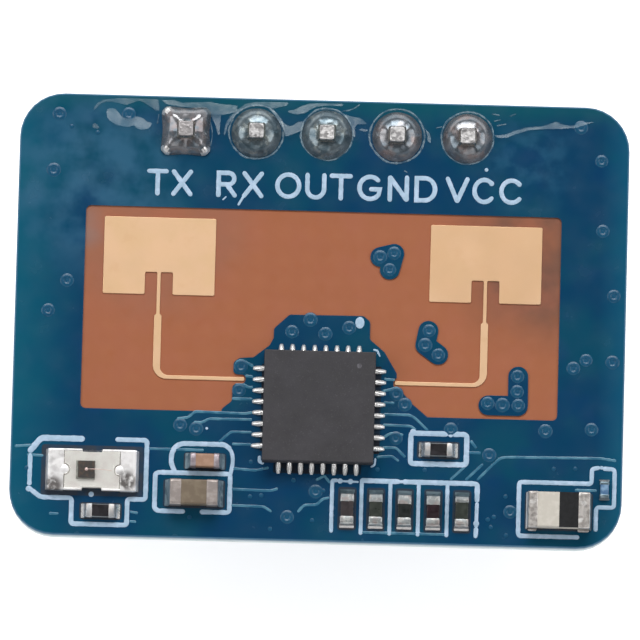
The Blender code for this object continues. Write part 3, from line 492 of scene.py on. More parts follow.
# Milling cuts through the glass layers: faint lines, 0.07 mm apart, run around the edge.
layers = board_edge.streaks((1.0, 1.0, 9.0), 1.6, 5.0)
fibre = {"Value": layers, "From Min": 0.44, "From Max": 0.66, "To Max": 0.45}
board_edge.cover(add(board_edge.tree, "ShaderNodeMapRange", {}, fibre).outputs["Result"], "#b4bdb9")
board_edge.mottle("#e4e9e8", 0.07, 0.55, 0.72, 0.5)
# The thin glass shows the blue mask through it, less and less towards the back.
board_edge.cover(board_edge.rise("Z", FACE - 0.88, FACE), "#2d6280").grain(0.05, 0.006)

# Electroplated copper under tin: a dull silver wall inside the holes.
hole_plating = Finish("plated_copper_barrel", "#c9c4ba", 0.35, metallic=1.0)
hole_plating.mottle("#a39c90", 0.2, 0.35, 0.65).grain(0.06, 0.003)

# %% [markdown]
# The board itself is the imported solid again, because its outline, holes and window are
# right. Only its rims are softened, and each face takes its finish from where it lies
# and which way it looks: mask above and below, laminate on the window's floor, glass
# fibre around the outside, plating in the holes.

# %% The board
board_shape = solid_copy("circuit_board")
MASK_FINISH, RIM_FINISH, LAMINATE_FINISH, EDGE_FINISH, HOLE_FINISH = range(5)
RIM_HEIGHT = 0.2  # the window's walls are lower than this, the board's sides are not


def finish_of(face):
    """Which of the board's finishes a face of the bare solid shows."""
    middle = face.calc_center_median()
    levels = [vert.co.z for vert in face.verts]
    if abs(face.normal.z) > 0.9:
        return LAMINATE_FINISH if BACK + SMALL < middle.z < FACE - SMALL else MASK_FINISH
    if middle.z > FOIL_LOW - SMALL and max(levels) - min(levels) < RIM_HEIGHT:
        return RIM_FINISH
    near_side = abs(middle.x) > BOARD_HIGH.x - 1.0 or abs(middle.y) > BOARD_HIGH.y - 0.4
    return EDGE_FINISH if near_side else HOLE_FINISH


for face in board_shape.faces:
    face.material_index = finish_of(face)
for radius, side_finish in ((0.055, EDGE_FINISH), (0.028, RIM_FINISH)):
    rim = {MASK_FINISH, side_finish}
    faces_before = set(board_shape.faces)
    soften(board_shape, radius, 2, lambda edge: {face.material_index for face in edge.link_faces} == rim)
    for face in board_shape.faces:
        if face not in faces_before and 0.1 < abs(face.normal.z) < 0.99:
            face.material_index = side_finish
board_finishes = (solder_mask, mask_rim, laminate, board_edge, hole_plating)
make_piece("board", board_shape, board_finishes, ("circuit_board",))

# %% [markdown]
# ## Traces and vias under the mask
# Copper lines stand up a hundredth of a millimetre through the mask. The lacquer thins
# on their shoulders, and the lines are also painted paler than the mask, a painted
# highlight along their edges, so they read as fine pale lines. A filled via is a small ring
# with a dimple, and its far side catches the light as a crescent; its lacquer is painted a
# little lighter too, to help that highlight show. Both are laid on the board as real relief,
# since a bump alone would vanish at the silhouette.

# %% Raised mask finish
# The same lacquer, thinned where it runs over a copper edge, and painted paler: partly the thin lacquer, partly a
# painted highlight along the edge.
raised_mask = Finish("mask_over_copper_edge", "#4f8096", 0.24, ior=1.5)
raised_mask.mottle("#2f6580", 0.5, 0.40, 0.62).grain(0.1, 0.001)

# Lacquer sunk into a filled hole: duller than around it, and painted a little lighter than the mask, a painted
# highlight that helps the crescents show.
via_mask = Finish("mask_sunk_in_via", "#164d6b", 0.28, ior=1.5)
via_mask.fix("Specular IOR Level", 0.35).mottle("#164a68", 0.4, 0.40, 0.62).grain(0.1, 0.001)

# %% Trace paths, in millimetres from the board's middle
TRACE_WIDTH = 0.10
TRACE_HEIGHT = 0.010
TRACES = (
    ((-2.4, -1.72), (-2.58, -1.62), (-2.75, -1.54), (-2.9, -1.55), (-2.98, -1.66)),
    ((-2.4, -2.12), (-2.6, -2.1)),
    ((-2.4, -2.5), (-2.55, -2.5), (-2.65, -2.42), (-2.95, -2.42)),
    ((-2.4, -2.93), (-3.05, -2.93)),
    ((-2.4, -3.42), (-2.6, -3.46), (-4.4, -3.43), (-4.65, -3.65), (-5.0, -3.7)),
    ((-2.4, -3.67), (-3.9, -3.68), (-4.15, -3.82), (-4.4, -3.82)),
    ((-2.4, -4.13), (-3.1, -4.13), (-3.5, -4.5)),
    ((-2.4, -4.57), (-3.0, -4.57)),
    ((-6.0, -4.82), (-5.25, -4.82), (-4.1, -4.82)),
    ((-10.8, -4.85), (-10.2, -4.8)),
    ((-10.35, -5.15), (-9.85, -5.17)),
    ((2.4, -2.08), (2.7, -2.1)),
    ((2.35, -2.5), (2.6, -2.45), (2.8, -2.36), (2.98, -2.5)),
    ((2.4, -2.93), (2.7, -2.93)),
    ((2.4, -3.35), (3.3, -3.35), (3.5, -3.45), (3.95, -3.87)),
    ((2.4, -3.73), (3.35, -3.75), (3.5, -3.85)),
    ((2.45, -4.15), (2.65, -4.02), (3.05, -4.07)),
    ((2.4, -4.55), (2.85, -4.55), (3.15, -4.85)),
    ((2.2, -4.9), (2.7, -4.85), (2.92, -5.0)),
    ((5.55, -4.25), (5.7, -4.45)),
    ((5.5, -4.65), (5.85, -4.65)),
    ((10.72, -4.8), (10.2, -4.73), (6.8, -4.78), (6.6, -4.82), (6.2, -5.2), (5.82, -5.6)),
    ((4.85, -5.62), (5.3, -5.2)),
    ((5.4, -5.62), (5.95, -5.08)),
    ((9.35, -5.9), (10.05, -5.9)),
    ((0.45, -6.42), (0.25, -6.47), (0.05, -6.68), (-0.4, -6.7), (-0.6, -6.93)),
    ((0.05, -5.77), (0.3, -5.62), (0.48, -5.85)),
    ((1.7, -7.63), (4.65, -7.63)),
    ((-3.0, -5.45), (-2.2, -5.5), (-1.75, -5.4)),
    ((-3.0, -6.2), (-1.6, -6.22), (-1.4, -6.15)),
    ((-3.0, -6.78), (-1.85, -6.8), (-1.6, -6.95)),
    ((-9.5, -7.25), (-9.25, -7.25)),
    ((-6.6, -7.12), (-6.4, -7.15)),
    ((-6.6, -7.46), (-6.45, -7.47)),
)
print(len(TRACES), "traces")

# %% The traces
trace_shape = bmesh.new()
for points in TRACES:
    path = resample(round_path(points, 0.08), 0.12)
    add_ribbon(trace_shape, path, TRACE_WIDTH, FACE - SINK, TRACE_HEIGHT + SINK, waver=0.25)
make_piece("mask_over_traces", trace_shape, (raised_mask,))

# %% [markdown]
# Around every soldered part a darker frame shows between the part and its ink outline:
# painted shade where the part meets the board. Each frame is a low rounded plate under
# its part.

# %% Darker mask frames
# Lacquer beside the parts, painted nearly grey: painted shade.
dark_mask = Finish("mask_in_painted_shade", "#343c47", 0.26, ior=1.5)
dark_mask.mottle("#1f3a52", 0.4, 0.46, 0.66, 0.7).grain(0.1, 0.001)

# Lacquer in the narrow gaps between leads, in the chip's shade.
gap_mask = Finish("mask_between_the_leads", "#0c2436", 0.30, ior=1.5)
gap_mask.mottle("#191c26", 0.3, 0.42, 0.62).grain(0.1, 0.001)
FRAME_LIFT = 0.004
MARGINS = {
    "light_sensor": 0.16, "sensor_resistor": 0.06, "side_resistor": 0.07, "tan_capacitor": 0.05,
    "large_capacitor": 0.06, "chip_antenna": 0.05, **{f"row_resistor_{number}": 0.08 for number in range(1, 6)},
}
CHIP_HALF = 2.0
GAP_HALF = 1.58  # half the length of a row of leads
frame_shape = bmesh.new()


def add_frame(outline, lift=FRAME_LIFT, finish=0):
    """A low plate of darker mask on the board."""
    add_loft(frame_shape, [ring_at(outline, FACE + level) for level in (-SINK, lift)], finish=finish)


for part, margin in MARGINS.items():
    boxes = [box_mm(f"{part}_terminal_{number}") for number in (1, 2)]
    low = Vector([min(box[0][axis] for box in boxes) - margin for axis in (0, 1)])
    high = Vector([max(box[1][axis] for box in boxes) + margin for axis in (0, 1)])
    half = (high - low) / 2
    add_frame([point + (low + high) / 2 for point in rounded_rectangle(half.x, half.y, 0.10)])
chip_low, chip_high = box_mm("radar_chip")
chip_centre = (chip_low + chip_high) / 2
TOE_REACH = chip_high.x - chip_centre.x - CHIP_HALF
for quarter, reach in enumerate((0.22, 0.08, 0.08, TOE_REACH - 0.03)):
    turn = Matrix.Rotation(quarter * math.pi / 2, 2)
    strip = rounded_rectangle(reach / 2, GAP_HALF, min(0.05, reach / 3))
    out = Vector((CHIP_HALF + reach / 2, 0.0))
    add_frame([turn @ (point + out) + chip_centre.xy for point in strip], finish=1)
# A dark strip along the tan capacitor's south side, in the gaps' finish: its painted contact shadow.
low, high = box_mm("tan_capacitor_body")
under_tan = Vector(((low.x + high.x) / 2, low.y - 0.08))
add_frame([point + under_tan for point in rounded_rectangle(0.62, 0.09, 0.05)], 0.005, finish=1)
make_piece("mask_frames", frame_shape, (dark_mask, gap_mask))

# %% Via places, and small filled dots
VIA_RADIUS = 0.20
VIAS = (
    (-9.6, 7.25), (-9.75, 5.2), (-9.15, 1.2), (-9.8, 0.1), (10.0, 6.05), (10.1, 3.5),
    (10.55, 1.15), (9.6, -1.2), (10.55, -1.25), (9.15, -1.5), (8.2, -3.8), (9.85, -3.7),
    (4.8, -3.83), (-0.35, 0.0), (0.2, -0.5), (-1.0, -0.45), (1.05, -0.25), (-2.80, -1.75), (-2.85, -2.62),
    (2.8, -2.6), (3.12, -2.98), (2.83, -4.2), (-4.93, -3.93), (-4.35, -4.05), (-1.0, -7.15),
    (6.2, -4.72), (7.0, -6.75), (0.0, -6.2), (2.1, 2.35), (2.6, 2.5), (2.45, 1.9),
    (3.93, -0.28), (3.8, -0.80), (4.28, -1.15), (7.15, -1.85), (7.15, -2.4), (7.2, -2.9),
    (6.63, -2.9), (6.1, -2.85), (9.23, 7.25), (-7.1, 7.3),
)
DOTS = (
    (8.53, -5.16), (9.3, -5.13), (6.82, -6.2), (6.42, -6.95), (6.2, -7.05), (6.32, -7.32),
    (6.87, -7.6), (-0.8, -5.82), (0.27, -6.17), (-0.1, -7.25), (-4.5, -7.25), (2.2, -5.35),
    (3.9, -5.32), (-10.4, -5.63), (-2.35, -6.45), (-1.95, -6.4), (-9.15, 6.8), (-8.2, 6.6),
    (-1.6, -7.6), (-2.35, -5.2),
)
print(len(VIAS), "vias and", len(DOTS), "dots")

# %% [markdown]
# A via's ring is turned: up the outside, over a round crest, and down into the dimple
# where the mask sinks into the hole. The board is drilled right through, so the back
# shows the same vias.

# %% The vias
via_shape = bmesh.new()
VIA_CREST = 0.021
VIA_PROFILE = (
    (0.0, -SINK),
    (VIA_RADIUS + 0.060, -SINK),
    (VIA_RADIUS + 0.050, 0.0),
    (VIA_RADIUS + 0.020, VIA_CREST * 0.40),
    (VIA_RADIUS - 0.020, VIA_CREST * 0.85),
    (VIA_RADIUS - 0.050, VIA_CREST),
    (VIA_RADIUS - 0.075, VIA_CREST * 0.90),
    (VIA_RADIUS - 0.095, VIA_CREST * 0.30),
    (VIA_RADIUS - 0.125, 0.001),
    (0.035, 0.003),
    (0.018, 0.006),
    (0.0, 0.007),
)
DOT_PROFILE = ((0.0, -SINK), (0.085, -SINK), (0.075, 0.012), (0.03, 0.022), (0.0, 0.023))
for centre in VIAS:
    size = 1 + 0.12 * wobble(centre[0], centre[1], 0.7, 5.0)
    profile = [(radius * size, height) for radius, height in VIA_PROFILE]
    add_drop(via_shape, centre, profile, 24, level=FACE)
    add_drop(via_shape, centre, [(radius, -height) for radius, height in profile], 24, level=BACK)
for centre in DOTS:
    add_drop(via_shape, centre, DOT_PROFILE, 16, level=FACE)
make_piece("mask_over_vias", via_shape, (via_mask,))

# %% [markdown]
# ## Silkscreen
# The white outlines and pin names are epoxy ink pushed through a mesh. The ink is a
# soft bluish white here because the coat is thin, its strokes end round, and their edges
# and thickness waver with the mesh. Each stroke is a ribbon, with breaks where the ink
# missed.

# %% Ink finish
# Screen-printed epoxy ink, thin enough to let the blue tint it: chalky, with mesh marks.
ink = Finish("screened_epoxy_ink", "#9fb8cd", 0.6, ior=1.5)
ink.mottle("#b1c6dc", 0.35, 0.42, 0.66).mottle("#8facc8", 0.12, 0.52, 0.72, 0.55).patchy_gloss(0.2, 0.5, 0.75)
ink.grain(0.07, 0.004)  # mesh grain, coarser than life to show

# %% Outlines around the parts
INK_HEIGHT = 0.016
OUTLINES = (
    (0.23, ((-8.45, -4.53), (-9.9, -4.53), (-10.27, -4.98))),
    (0.17, ((-10.28, -5.18), (-10.28, -6.18))),
    (0.18, ((-10.28, -6.36), (-9.87, -6.67), (-8.75, -6.67), (-8.75, -7.6), (-6.75, -7.6), (-6.75, -6.66),
            (-6.1, -6.66), (-6.1, -4.52), (-7.15, -4.52))),
    (0.19, ((-3.15, -4.72), (-3.32, -4.6), (-4.85, -4.6), (-5.08, -4.72), (-5.2, -4.95), (-5.22, -5.3),
            (-5.08, -5.62))),
    (0.15, ((-3.2, -4.68), (-3.05, -4.85), (-3.0, -5.1), (-3.02, -5.4), (-3.08, -5.66))),
    (0.18, ((-4.75, -7.05), (-5.65, -7.05), (-5.77, -6.95), (-5.77, -5.72), (-5.65, -5.66), (-3.08, -5.66),
            (-3.08, -7.05), (-4.05, -7.05))),
    (0.20, ((4.62, -4.0), (3.37, -4.0), (3.37, -5.1), (5.38, -5.1), (5.38, -4.0), (4.95, -4.0))),
    (0.15, ((1.65, -5.76), (1.65, -7.65))),
    (0.15, ((2.68, -5.76), (2.68, -7.65))),
    (0.15, ((3.70, -5.76), (3.70, -7.65))),
    (0.15, ((4.73, -5.76), (4.73, -7.65))),
    (0.15, ((0.59, -7.6), (0.59, -5.79), (0.72, -5.78))),
    (0.08, ((0.84, -5.80), (1.5, -5.82))),
    (0.19, ((1.68, -5.76), (2.95, -5.77))),
    (0.12, ((2.95, -5.77), (3.2, -5.77))),
    (0.19, ((3.2, -5.77), (5.8, -5.77), (5.8, -6.36))),
    (0.14, ((5.8, -6.5), (5.79, -7.3))),
    (0.17, ((5.79, -7.42), (5.78, -7.65))),
    (0.17, ((9.42, -7.6), (7.3, -7.6), (7.3, -5.66), (9.9, -5.66), (9.9, -5.12), (10.12, -5.08))),
    (0.16, ((10.36, -5.1), (10.72, -5.12), (10.72, -6.5), (10.08, -6.5), (10.08, -7.3))),
)
INK_DOTS = (
    (4.8, -4.03, 0.09), (10.25, -5.07, 0.07), (0.87, -5.80, 0.10), (1.24, -5.81, 0.10),
    (-8.05, -6.52, 0.10), (5.85, 5.62, 0.07), (-10.3, -6.38, 0.11), (3.45, -3.96, 0.12), (-3.97, -4.03, 0.05),
    (5.79, -7.2, 0.11),
)
CORNER_MARKS = (
    (0.08, ((1.97, -1.03), (2.08, -1.05), (2.13, -1.16))),
    (0.05, ((2.13, -1.16), (2.18, -1.25))),
    (0.13, ((-2.05, -5.03), (-2.05, -5.18), (-1.94, -5.22))),
    (0.08, ((2.11, -4.98), (2.09, -5.2), (1.98, -5.25))),
    (0.34, ((1.43, -0.02), (1.43, -0.10))),
    (0.06, ((-3.52, 4.38), (-3.62, 4.28))),
    (0.09, ((-2.88, 4.42), (-3.05, 4.12))),
)
outline_shape = bmesh.new()
for width, points in OUTLINES:
    path = resample(round_path(points, 0.12), 0.1)
    add_ribbon(outline_shape, path, width, FACE - SINK, INK_HEIGHT + SINK, waver=0.16)
for width, points in CORNER_MARKS:
    add_ribbon(outline_shape, round_path(points, 0.05), width, FACE - SINK, INK_HEIGHT + SINK)
for x, y, radius in INK_DOTS:
    profile = ((0.0, -SINK), (radius, -SINK), (radius * 0.92, INK_HEIGHT * 0.7), (0.0, INK_HEIGHT * 1.1))
    add_drop(outline_shape, (x, y), profile, 20, level=FACE)
make_piece("silkscreen_outlines", outline_shape, (ink,))

# %% [markdown]
# The pin names only say what each pin does, as on any header: transmit, receive,
# output, ground and supply. Drafting lettering is single-stroke, so each letter is a few
# lines and arcs in a unit square, stretched into its place.

# %% Single-stroke letters


def arc(centre_x, centre_y, radius_x, radius_y, first, last, steps=14):
    """Points along part of an ellipse, between two angles in degrees."""
    turns = [math.radians(first + (last - first) * step / steps) for step in range(steps + 1)]
    return tuple((centre_x + radius_x * math.cos(t), centre_y + radius_y * math.sin(t)) for t in turns)


LETTERS = {
    "T": (((0.0, 1.0), (1.0, 1.0)), ((0.5, 1.0), (0.5, 0.0))),
    "X": (((0.0, 1.0), (1.0, 0.0)), ((1.0, 1.0), (0.0, 0.0))),
    "R": (
        ((0.0, 0.0), (0.0, 1.0), (0.55, 1.0)) + arc(0.6, 0.74, 0.36, 0.26, 90, -90, 10) + ((0.0, 0.48),),
        ((0.5, 0.48), (1.0, 0.0)),
    ),
    "O": (arc(0.5, 0.5, 0.5, 0.5, 0, 360, 28),),
    "U": (((0.0, 1.0), (0.0, 0.4)) + arc(0.5, 0.38, 0.5, 0.38, 180, 360) + ((1.0, 1.0),),),
    "G": (arc(0.52, 0.5, 0.52, 0.5, 45, 322, 22) + ((0.98, 0.44), (0.58, 0.44)),),
    "N": (((0.0, 0.0), (0.0, 1.0), (1.0, 0.0), (1.0, 1.0)),),
    "D": (((0.42, 0.0), (0.0, 0.0), (0.0, 1.0), (0.42, 1.0)) + arc(0.45, 0.5, 0.55, 0.5, 86, -90, 16),),
    "V": (((0.0, 1.0), (0.5, 0.0), (1.0, 1.0)),),
    "C": (arc(0.54, 0.5, 0.54, 0.5, 42, 318, 22),),
}
LETTER_WIDTH = 0.175
LETTER_LOW = 4.36
LETTER_TOP = 5.34
LABELS = (  # each letter with its left and right end
    ("T", -6.38, -5.60), ("X", -5.50, -4.72), ("R", -3.88, -3.12), ("X", -2.95, -2.16),
    ("O", -1.76, -0.80), ("U", -0.68, 0.10), ("T", 0.20, 1.04), ("G", 1.20, 2.12),
    ("N", 2.30, 3.08), ("D", 3.26, 4.10), ("V", 4.38, 5.26), ("C", 5.35, 6.18), ("C", 6.32, 7.18),
)
print(len(LABELS), "letters, drawn with", len(LETTERS), "forms")

# %% The pin names
label_shape = bmesh.new()
for letter, left, right in LABELS:
    inset = LETTER_WIDTH / 2
    span = right - left - LETTER_WIDTH
    rise = LETTER_TOP - LETTER_LOW - LETTER_WIDTH
    for stroke in LETTERS[letter]:
        points = [Vector((left + inset + x * span, LETTER_LOW + inset + y * rise)) for x, y in stroke]
        closed = len(points) > 3 and (points[0] - points[-1]).length < 0.01
        if closed:
            points.pop()
        path = resample(round_path(points, 0.05, closed) if len(points) < 8 else points, 0.08, closed)
        add_ribbon(label_shape, path, LETTER_WIDTH, FACE - SINK, INK_HEIGHT + SINK, closed, waver=0.14)
make_piece("pin_names", label_shape, (ink,))

# %% [markdown]
# ## The patch antennas
# Each antenna is copper foil with an electroless nickel and immersion gold finish:
# satin rather than mirror-like, pinkish yellow, with the fine grain of the copper under
# it. Its etched edge is steep, and the rounded rim draws a bright line on the side that
# faces the light.

# %% Gold finish
# Nickel under a breath of gold: satin, pinkish, almost even.
gold = Finish("immersion_gold_on_copper", "#e1bd99", 0.55, metallic=1.0)
gold.mottle("#debb94", 1.6, 0.38, 0.66)
gold.mottle("#d6b08a", 2.0, 0.10, 0.50, 0.6, gold.region((6.0, 2.7, FOIL_HIGH), 2.0, 1.0))
gold.mottle("#d9b28c", 0.5, 0.55, 0.75, 0.4).patchy_gloss(0.7, 0.53, 0.58)
gold.grain(0.045, 0.0016)  # foil grain, coarser than life to show

# %% The two antennas
for side in ("left", "right"):
    node = "antenna_" + side
    antenna_shape = solid_copy(node)
    soften(antenna_shape, 0.014, 2, lambda edge: min(v.co.z for v in edge.verts) > FOIL_HIGH - SMALL)
    make_piece(node + "_foil", antenna_shape, (gold,), (node,))

# %% [markdown]
# ## Solder
# Reflowed tin solder is a bright metal with a skin of fine grain, so it mirrors the
# softboxes in broad patches and breaks them up a little. The same finish serves the
# chip's toes and the fillets of the small parts; hand-made header joints get more flux
# stain and a cooler, darker tone.

# %% Solder finishes
# Tin alloy that froze slowly in the oven: bright, with small shrinkage grains.
solder = Finish("reflowed_tin_solder", "#e6e4e0", 0.28, metallic=1.0)
solder.mottle("#cfccc7", 0.3, 0.42, 0.68).patchy_gloss(0.14, 0.22, 0.36).grain(0.12, 0.002)

# Tin alloy fed by hand: smooth and mirror-like, so it shows dark and light bands.
header_solder = Finish("hand_soldered_tin", "#87878a", 0.24, metallic=0.70)
header_solder.mottle("#68727a", 0.50, 0.42, 0.62).mottle("#8a7b78", 0.45, 0.52, 0.68, 0.7)
header_solder.patchy_gloss(0.2, 0.18, 0.30).grain(0.30, 0.006)

# The same under a skin of flux: darker and blotched.
fluxed_solder = Finish("hand_soldered_tin_under_flux", "#6e7a80", 0.32, metallic=0.56)
fluxed_solder.mottle("#4c5d66", 0.40, 0.42, 0.62).mottle("#8c9493", 0.25, 0.52, 0.68, 0.8)
fluxed_solder.patchy_gloss(0.2, 0.18, 0.32).grain(0.25, 0.008)

# Fillets painted blue-grey and darker than bright tin, as painted shade, with pale blots.
shaded_solder = Finish("blue_grey_tin_in_painted_shade", "#96a8af", 0.36, metallic=0.66)
shaded_solder.mottle("#566b76", 0.32, 0.44, 0.64, 0.8).mottle("#c6cfd0", 0.25, 0.56, 0.72, 0.7)
shaded_solder.patchy_gloss(0.30, 0.30, 0.44).grain(0.30, 0.003)

# The far fillets of the row, turned away from the strong box: painted dark and soft, as painted shade.
dim_solder = Finish("tin_in_painted_shade_of_the_row", "#6d7e85", 0.44, metallic=0.7)
dim_solder.mottle("#4b5c62", 0.25, 0.42, 0.64, 0.8).patchy_gloss(0.30, 0.36, 0.50).grain(0.30, 0.003)

# Barrel-plated tin on the row's ends: grey, with white and pinkish flecks.
row_tin = Finish("plated_grey_tin", "#a3a8a9", 0.48, metallic=0.85)
row_tin.mottle("#cfd0cc", 0.14, 0.50, 0.62, 0.7).mottle("#a99c98", 0.22, 0.48, 0.66, 0.7)
row_tin.patchy_gloss(0.25, 0.36, 0.54).grain(0.25, 0.003)

# A thin wash of tin that crept along the pad, painted nearly white and matt: partly the tin, partly a painted
# highlight.
pad_tin = Finish("thin_tin_on_the_pad", "#f3eeea", 0.50, metallic=0.2)
pad_tin.mottle("#c9c2be", 0.12, 0.50, 0.70, 0.6).grain(0.08, 0.002)

# Tin over fired silver: matt, with a faint violet warmth.
warm_tin = Finish("plated_warm_tin", "#afa5aa", 0.50, metallic=0.85)
warm_tin.mottle("#8f8289", 0.16, 0.44, 0.66, 0.8).patchy_gloss(0.2, 0.44, 0.58).grain(0.12, 0.002)

# Handled tin on the antenna's ends: scuffed, light and dark in patches.
weathered_tin = Finish("weathered_bright_tin", "#cbc6c1", 0.46, metallic=0.9)
weathered_tin.mottle("#958e89", 0.22, 0.42, 0.64, 0.75).mottle("#f5f3f0", 0.30, 0.56, 0.72, 0.7)
weathered_tin.patchy_gloss(0.12, 0.36, 0.54).grain(0.10, 0.003)

# Solder that ran up a lead in a thin coat: the brightest metal on the board.
toe_solder = Finish("reflowed_tin_on_a_lead", "#f4f2f0", 0.30, metallic=0.85)
toe_solder.mottle("#dcdad7", 0.2, 0.42, 0.66).patchy_gloss(0.2, 0.24, 0.36).grain(0.15, 0.001)

# Old barrel-plated tin: brownish grey without sparkle.
dull_tin = Finish("plated_dull_tin", "#9b928e", 0.52, metallic=0.9)
dull_tin.mottle("#afa6a1", 0.3, 0.42, 0.66).patchy_gloss(0.2, 0.46, 0.60).grain(0.15, 0.002)

# Plain matt tin, as most parts and the regulator's legs have.
tinned = Finish("plated_matt_tin", "#babdbf", 0.50, metallic=1.0)
tinned.mottle("#cdc6c2", 0.2, 0.42, 0.66).patchy_gloss(0.12, 0.42, 0.56).grain(0.10, 0.002)

# Bright tin on the sensor's ends, darker in cloudy patches at two of its corners.
sensor_plating = Finish("plated_bright_tin", "#f7f5f4", 0.46, metallic=0.85)
PLATE_TOP = box_mm("light_sensor_base")[1].z
for corner in ((-9.43, -6.27, PLATE_TOP), (-6.78, -6.04, PLATE_TOP)):
    near_corner = sensor_plating.region(corner, 0.18, 0.30)
    sensor_plating.mottle("#625d5b", 0.22, 0.30, 0.54, 0.95, near_corner)
sensor_plating.mottle("#d3cfcd", 0.2, 0.50, 0.70, 0.5).patchy_gloss(0.3, 0.36, 0.54).grain(0.2, 0.003)

# %% [markdown]
# ## The radar chip
# The package is black epoxy moulding compound, sawn from a panel: a flat matt top with
# a fine sparkle of silica filler, crisp edges, and a shallow dimple by pin one. Under
# each edge eight leads end in toes of solder that swell and then run out on their pads.

# %% Moulding compound finish
# Epoxy filled with silica: dull black that glitters faintly.
compound = Finish("silica_filled_moulding_epoxy", "#272529", 0.62, ior=1.55)
compound.mottle("#323035", 1.2, 0.40, 0.66, 0.6)
compound.mottle("#504e52", 0.045, 0.60, 0.74, 0.5)  # filler grains
compound.patchy_gloss(0.3, 0.55, 0.72).grain(0.05, 0.0025)

# Where the mould's pin pressed, the epoxy is smoother and shows greyer.
dimple_finish = Finish("moulded_dimple", "#4a484d", 0.45, ior=1.55)
dimple_finish.mottle("#5c5a60", 0.08, 0.40, 0.66).grain(0.05, 0.002)

# %% [markdown]
# A toe is a half-round bar that swells where it leaves the package and runs out thin on
# its pad. It is lofted through a few sections, and each toe is a little longer or wider
# than the next, because no two are wetted alike.

# %% A chip's solder toes
TOE_SECTIONS = 9
TOE_POINTS = 10
TOE_ROOT = 0.08  # how far under the chip a toe starts
TOE_LIP = 0.008  # how thick its end is


def add_toes(shape, centre, side, count, pitch, width, reaches, height, level, sign):
    """Solder toes along all four edges of a flat chip; sign -1 hangs them from a back face."""
    for quarter, reach in enumerate(reaches):
        turn = Matrix.Rotation(quarter * math.pi / 2, 2)
        for index in range(count):
            offset = pitch * (index - (count - 1) / 2)
            own = wobble(index * 3.1, quarter * 7.7, 1.0, 2.0)
            rings = []
            for step in range(TOE_SECTIONS + 1):
                share = step / TOE_SECTIONS
                out = side / 2 - TOE_ROOT + share * (reach + TOE_ROOT) * (1 + 0.05 * own)
                swell = math.sin(math.pi * (0.16 + 0.80 * share)) ** 0.55
                half = width / 2 * (0.30 + 0.70 * swell) * (1 + 0.08 * own)
                lift = height * (1 - share) ** 0.9 * (0.85 + 0.3 * share) + 0.03
                if step == TOE_SECTIONS:
                    lift = TOE_LIP
                ring = []
                for corner in range(TOE_POINTS):
                    angle = math.pi * corner / (TOE_POINTS - 1)
                    flat = turn @ Vector((out, offset + half * math.cos(angle)))
                    rise = lift * math.sin(angle) ** 0.8
                    ring.append((centre[0] + flat.x, centre[1] + flat.y, level + sign * (rise - 0.002)))
                rings.append(ring)
            add_loft(shape, rings)


# %% The radar chip
DIMPLE_AT = (chip_centre.x + 1.41, chip_centre.y + 1.49)
DIMPLE_RADIUS = 0.085
STAND_OFF = 0.03
CHIP_EDGE = 0.035
TOE_PITCH = 0.4
TOE_RISE = 0.20
chip_shape = bmesh.new()
low_corner = (chip_centre.x - CHIP_HALF, chip_centre.y - CHIP_HALF, FACE + STAND_OFF)
high_corner = (chip_centre.x + CHIP_HALF, chip_centre.y + CHIP_HALF, chip_high.z)
add_block(chip_shape, low_corner, high_corner, CHIP_EDGE, 2)
dish = (
    (0.0, -0.003),
    (DIMPLE_RADIUS * 1.08, -0.002),
    (DIMPLE_RADIUS, 0.003),
    (DIMPLE_RADIUS * 0.86, 0.0015),
    (0.0, 0.001),
)
add_drop(chip_shape, DIMPLE_AT, dish, 28, finish=1, level=chip_high.z)
make_piece("radar_chip_package", chip_shape, (compound, dimple_finish), ("radar_chip",))
toe_shape = bmesh.new()
reaches = (TOE_REACH, TOE_REACH - 0.08, TOE_REACH, TOE_REACH)  # the far toes drew back under the chip
add_toes(toe_shape, chip_centre, 2 * CHIP_HALF, 8, TOE_PITCH, 0.20, reaches, TOE_RISE, FACE, 1)
make_piece("radar_chip_solder", toe_shape, (toe_solder,))

# %% [markdown]
# ## The pin header
# Five square brass pins, tin plated, are pressed through a moulded nylon strip on the
# back. Each is soldered by hand: the solder wets the round pad, climbs in a full dome
# and leaves the pin's cut end standing out. The first pad is square, so its joint is a
# pillow that is drawn in along its sides and bright at its corners.

# %% Header finishes
# Injection-moulded nylon: black with a soft, slightly uneven sheen.
nylon = Finish("moulded_black_nylon", "#141415", 0.48, ior=1.53)
nylon.mottle("#1d1d1f", 0.9, 0.40, 0.66, 0.7).patchy_gloss(0.4, 0.40, 0.58).grain(0.12, 0.006)

# Square brass wire under tin: a warm grey metal.
pin_metal = Finish("tin_plated_brass", "#bdb7ac", 0.26, metallic=1.0)
pin_metal.mottle("#ada597", 0.5, 0.42, 0.68)
# Drawn wire keeps fine lines along the pin, about 0.08 mm apart as drawn here.
pin_metal.raise_surface(pin_metal.streaks((12.0, 12.0, 0.8), 1.0, 2.0), 0.003)

# Sheared metal, torn and rough, so it catches light from every side.
cut_end = Finish("sheared_pin_end", "#d2d0cf", 0.55, metallic=1.0)
cut_end.mottle("#989696", 0.16, 0.45, 0.62)
first_low, first_high = box_mm("header_pin_1")
first_top = ((first_low.x + first_high.x) / 2, (first_low.y + first_high.y) / 2, first_high.z)
cut_end.cover(cut_end.region(first_top, 0.4, 0.1), "#aaa6a6").patchy_gloss(0.15, 0.35, 0.60)
cut_end.grain(0.12, 0.020)

# %% [markdown]
# A pin is a stack of rounded squares, which gives its tapered lower tip and its drawn-in
# cut end in one go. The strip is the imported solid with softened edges.

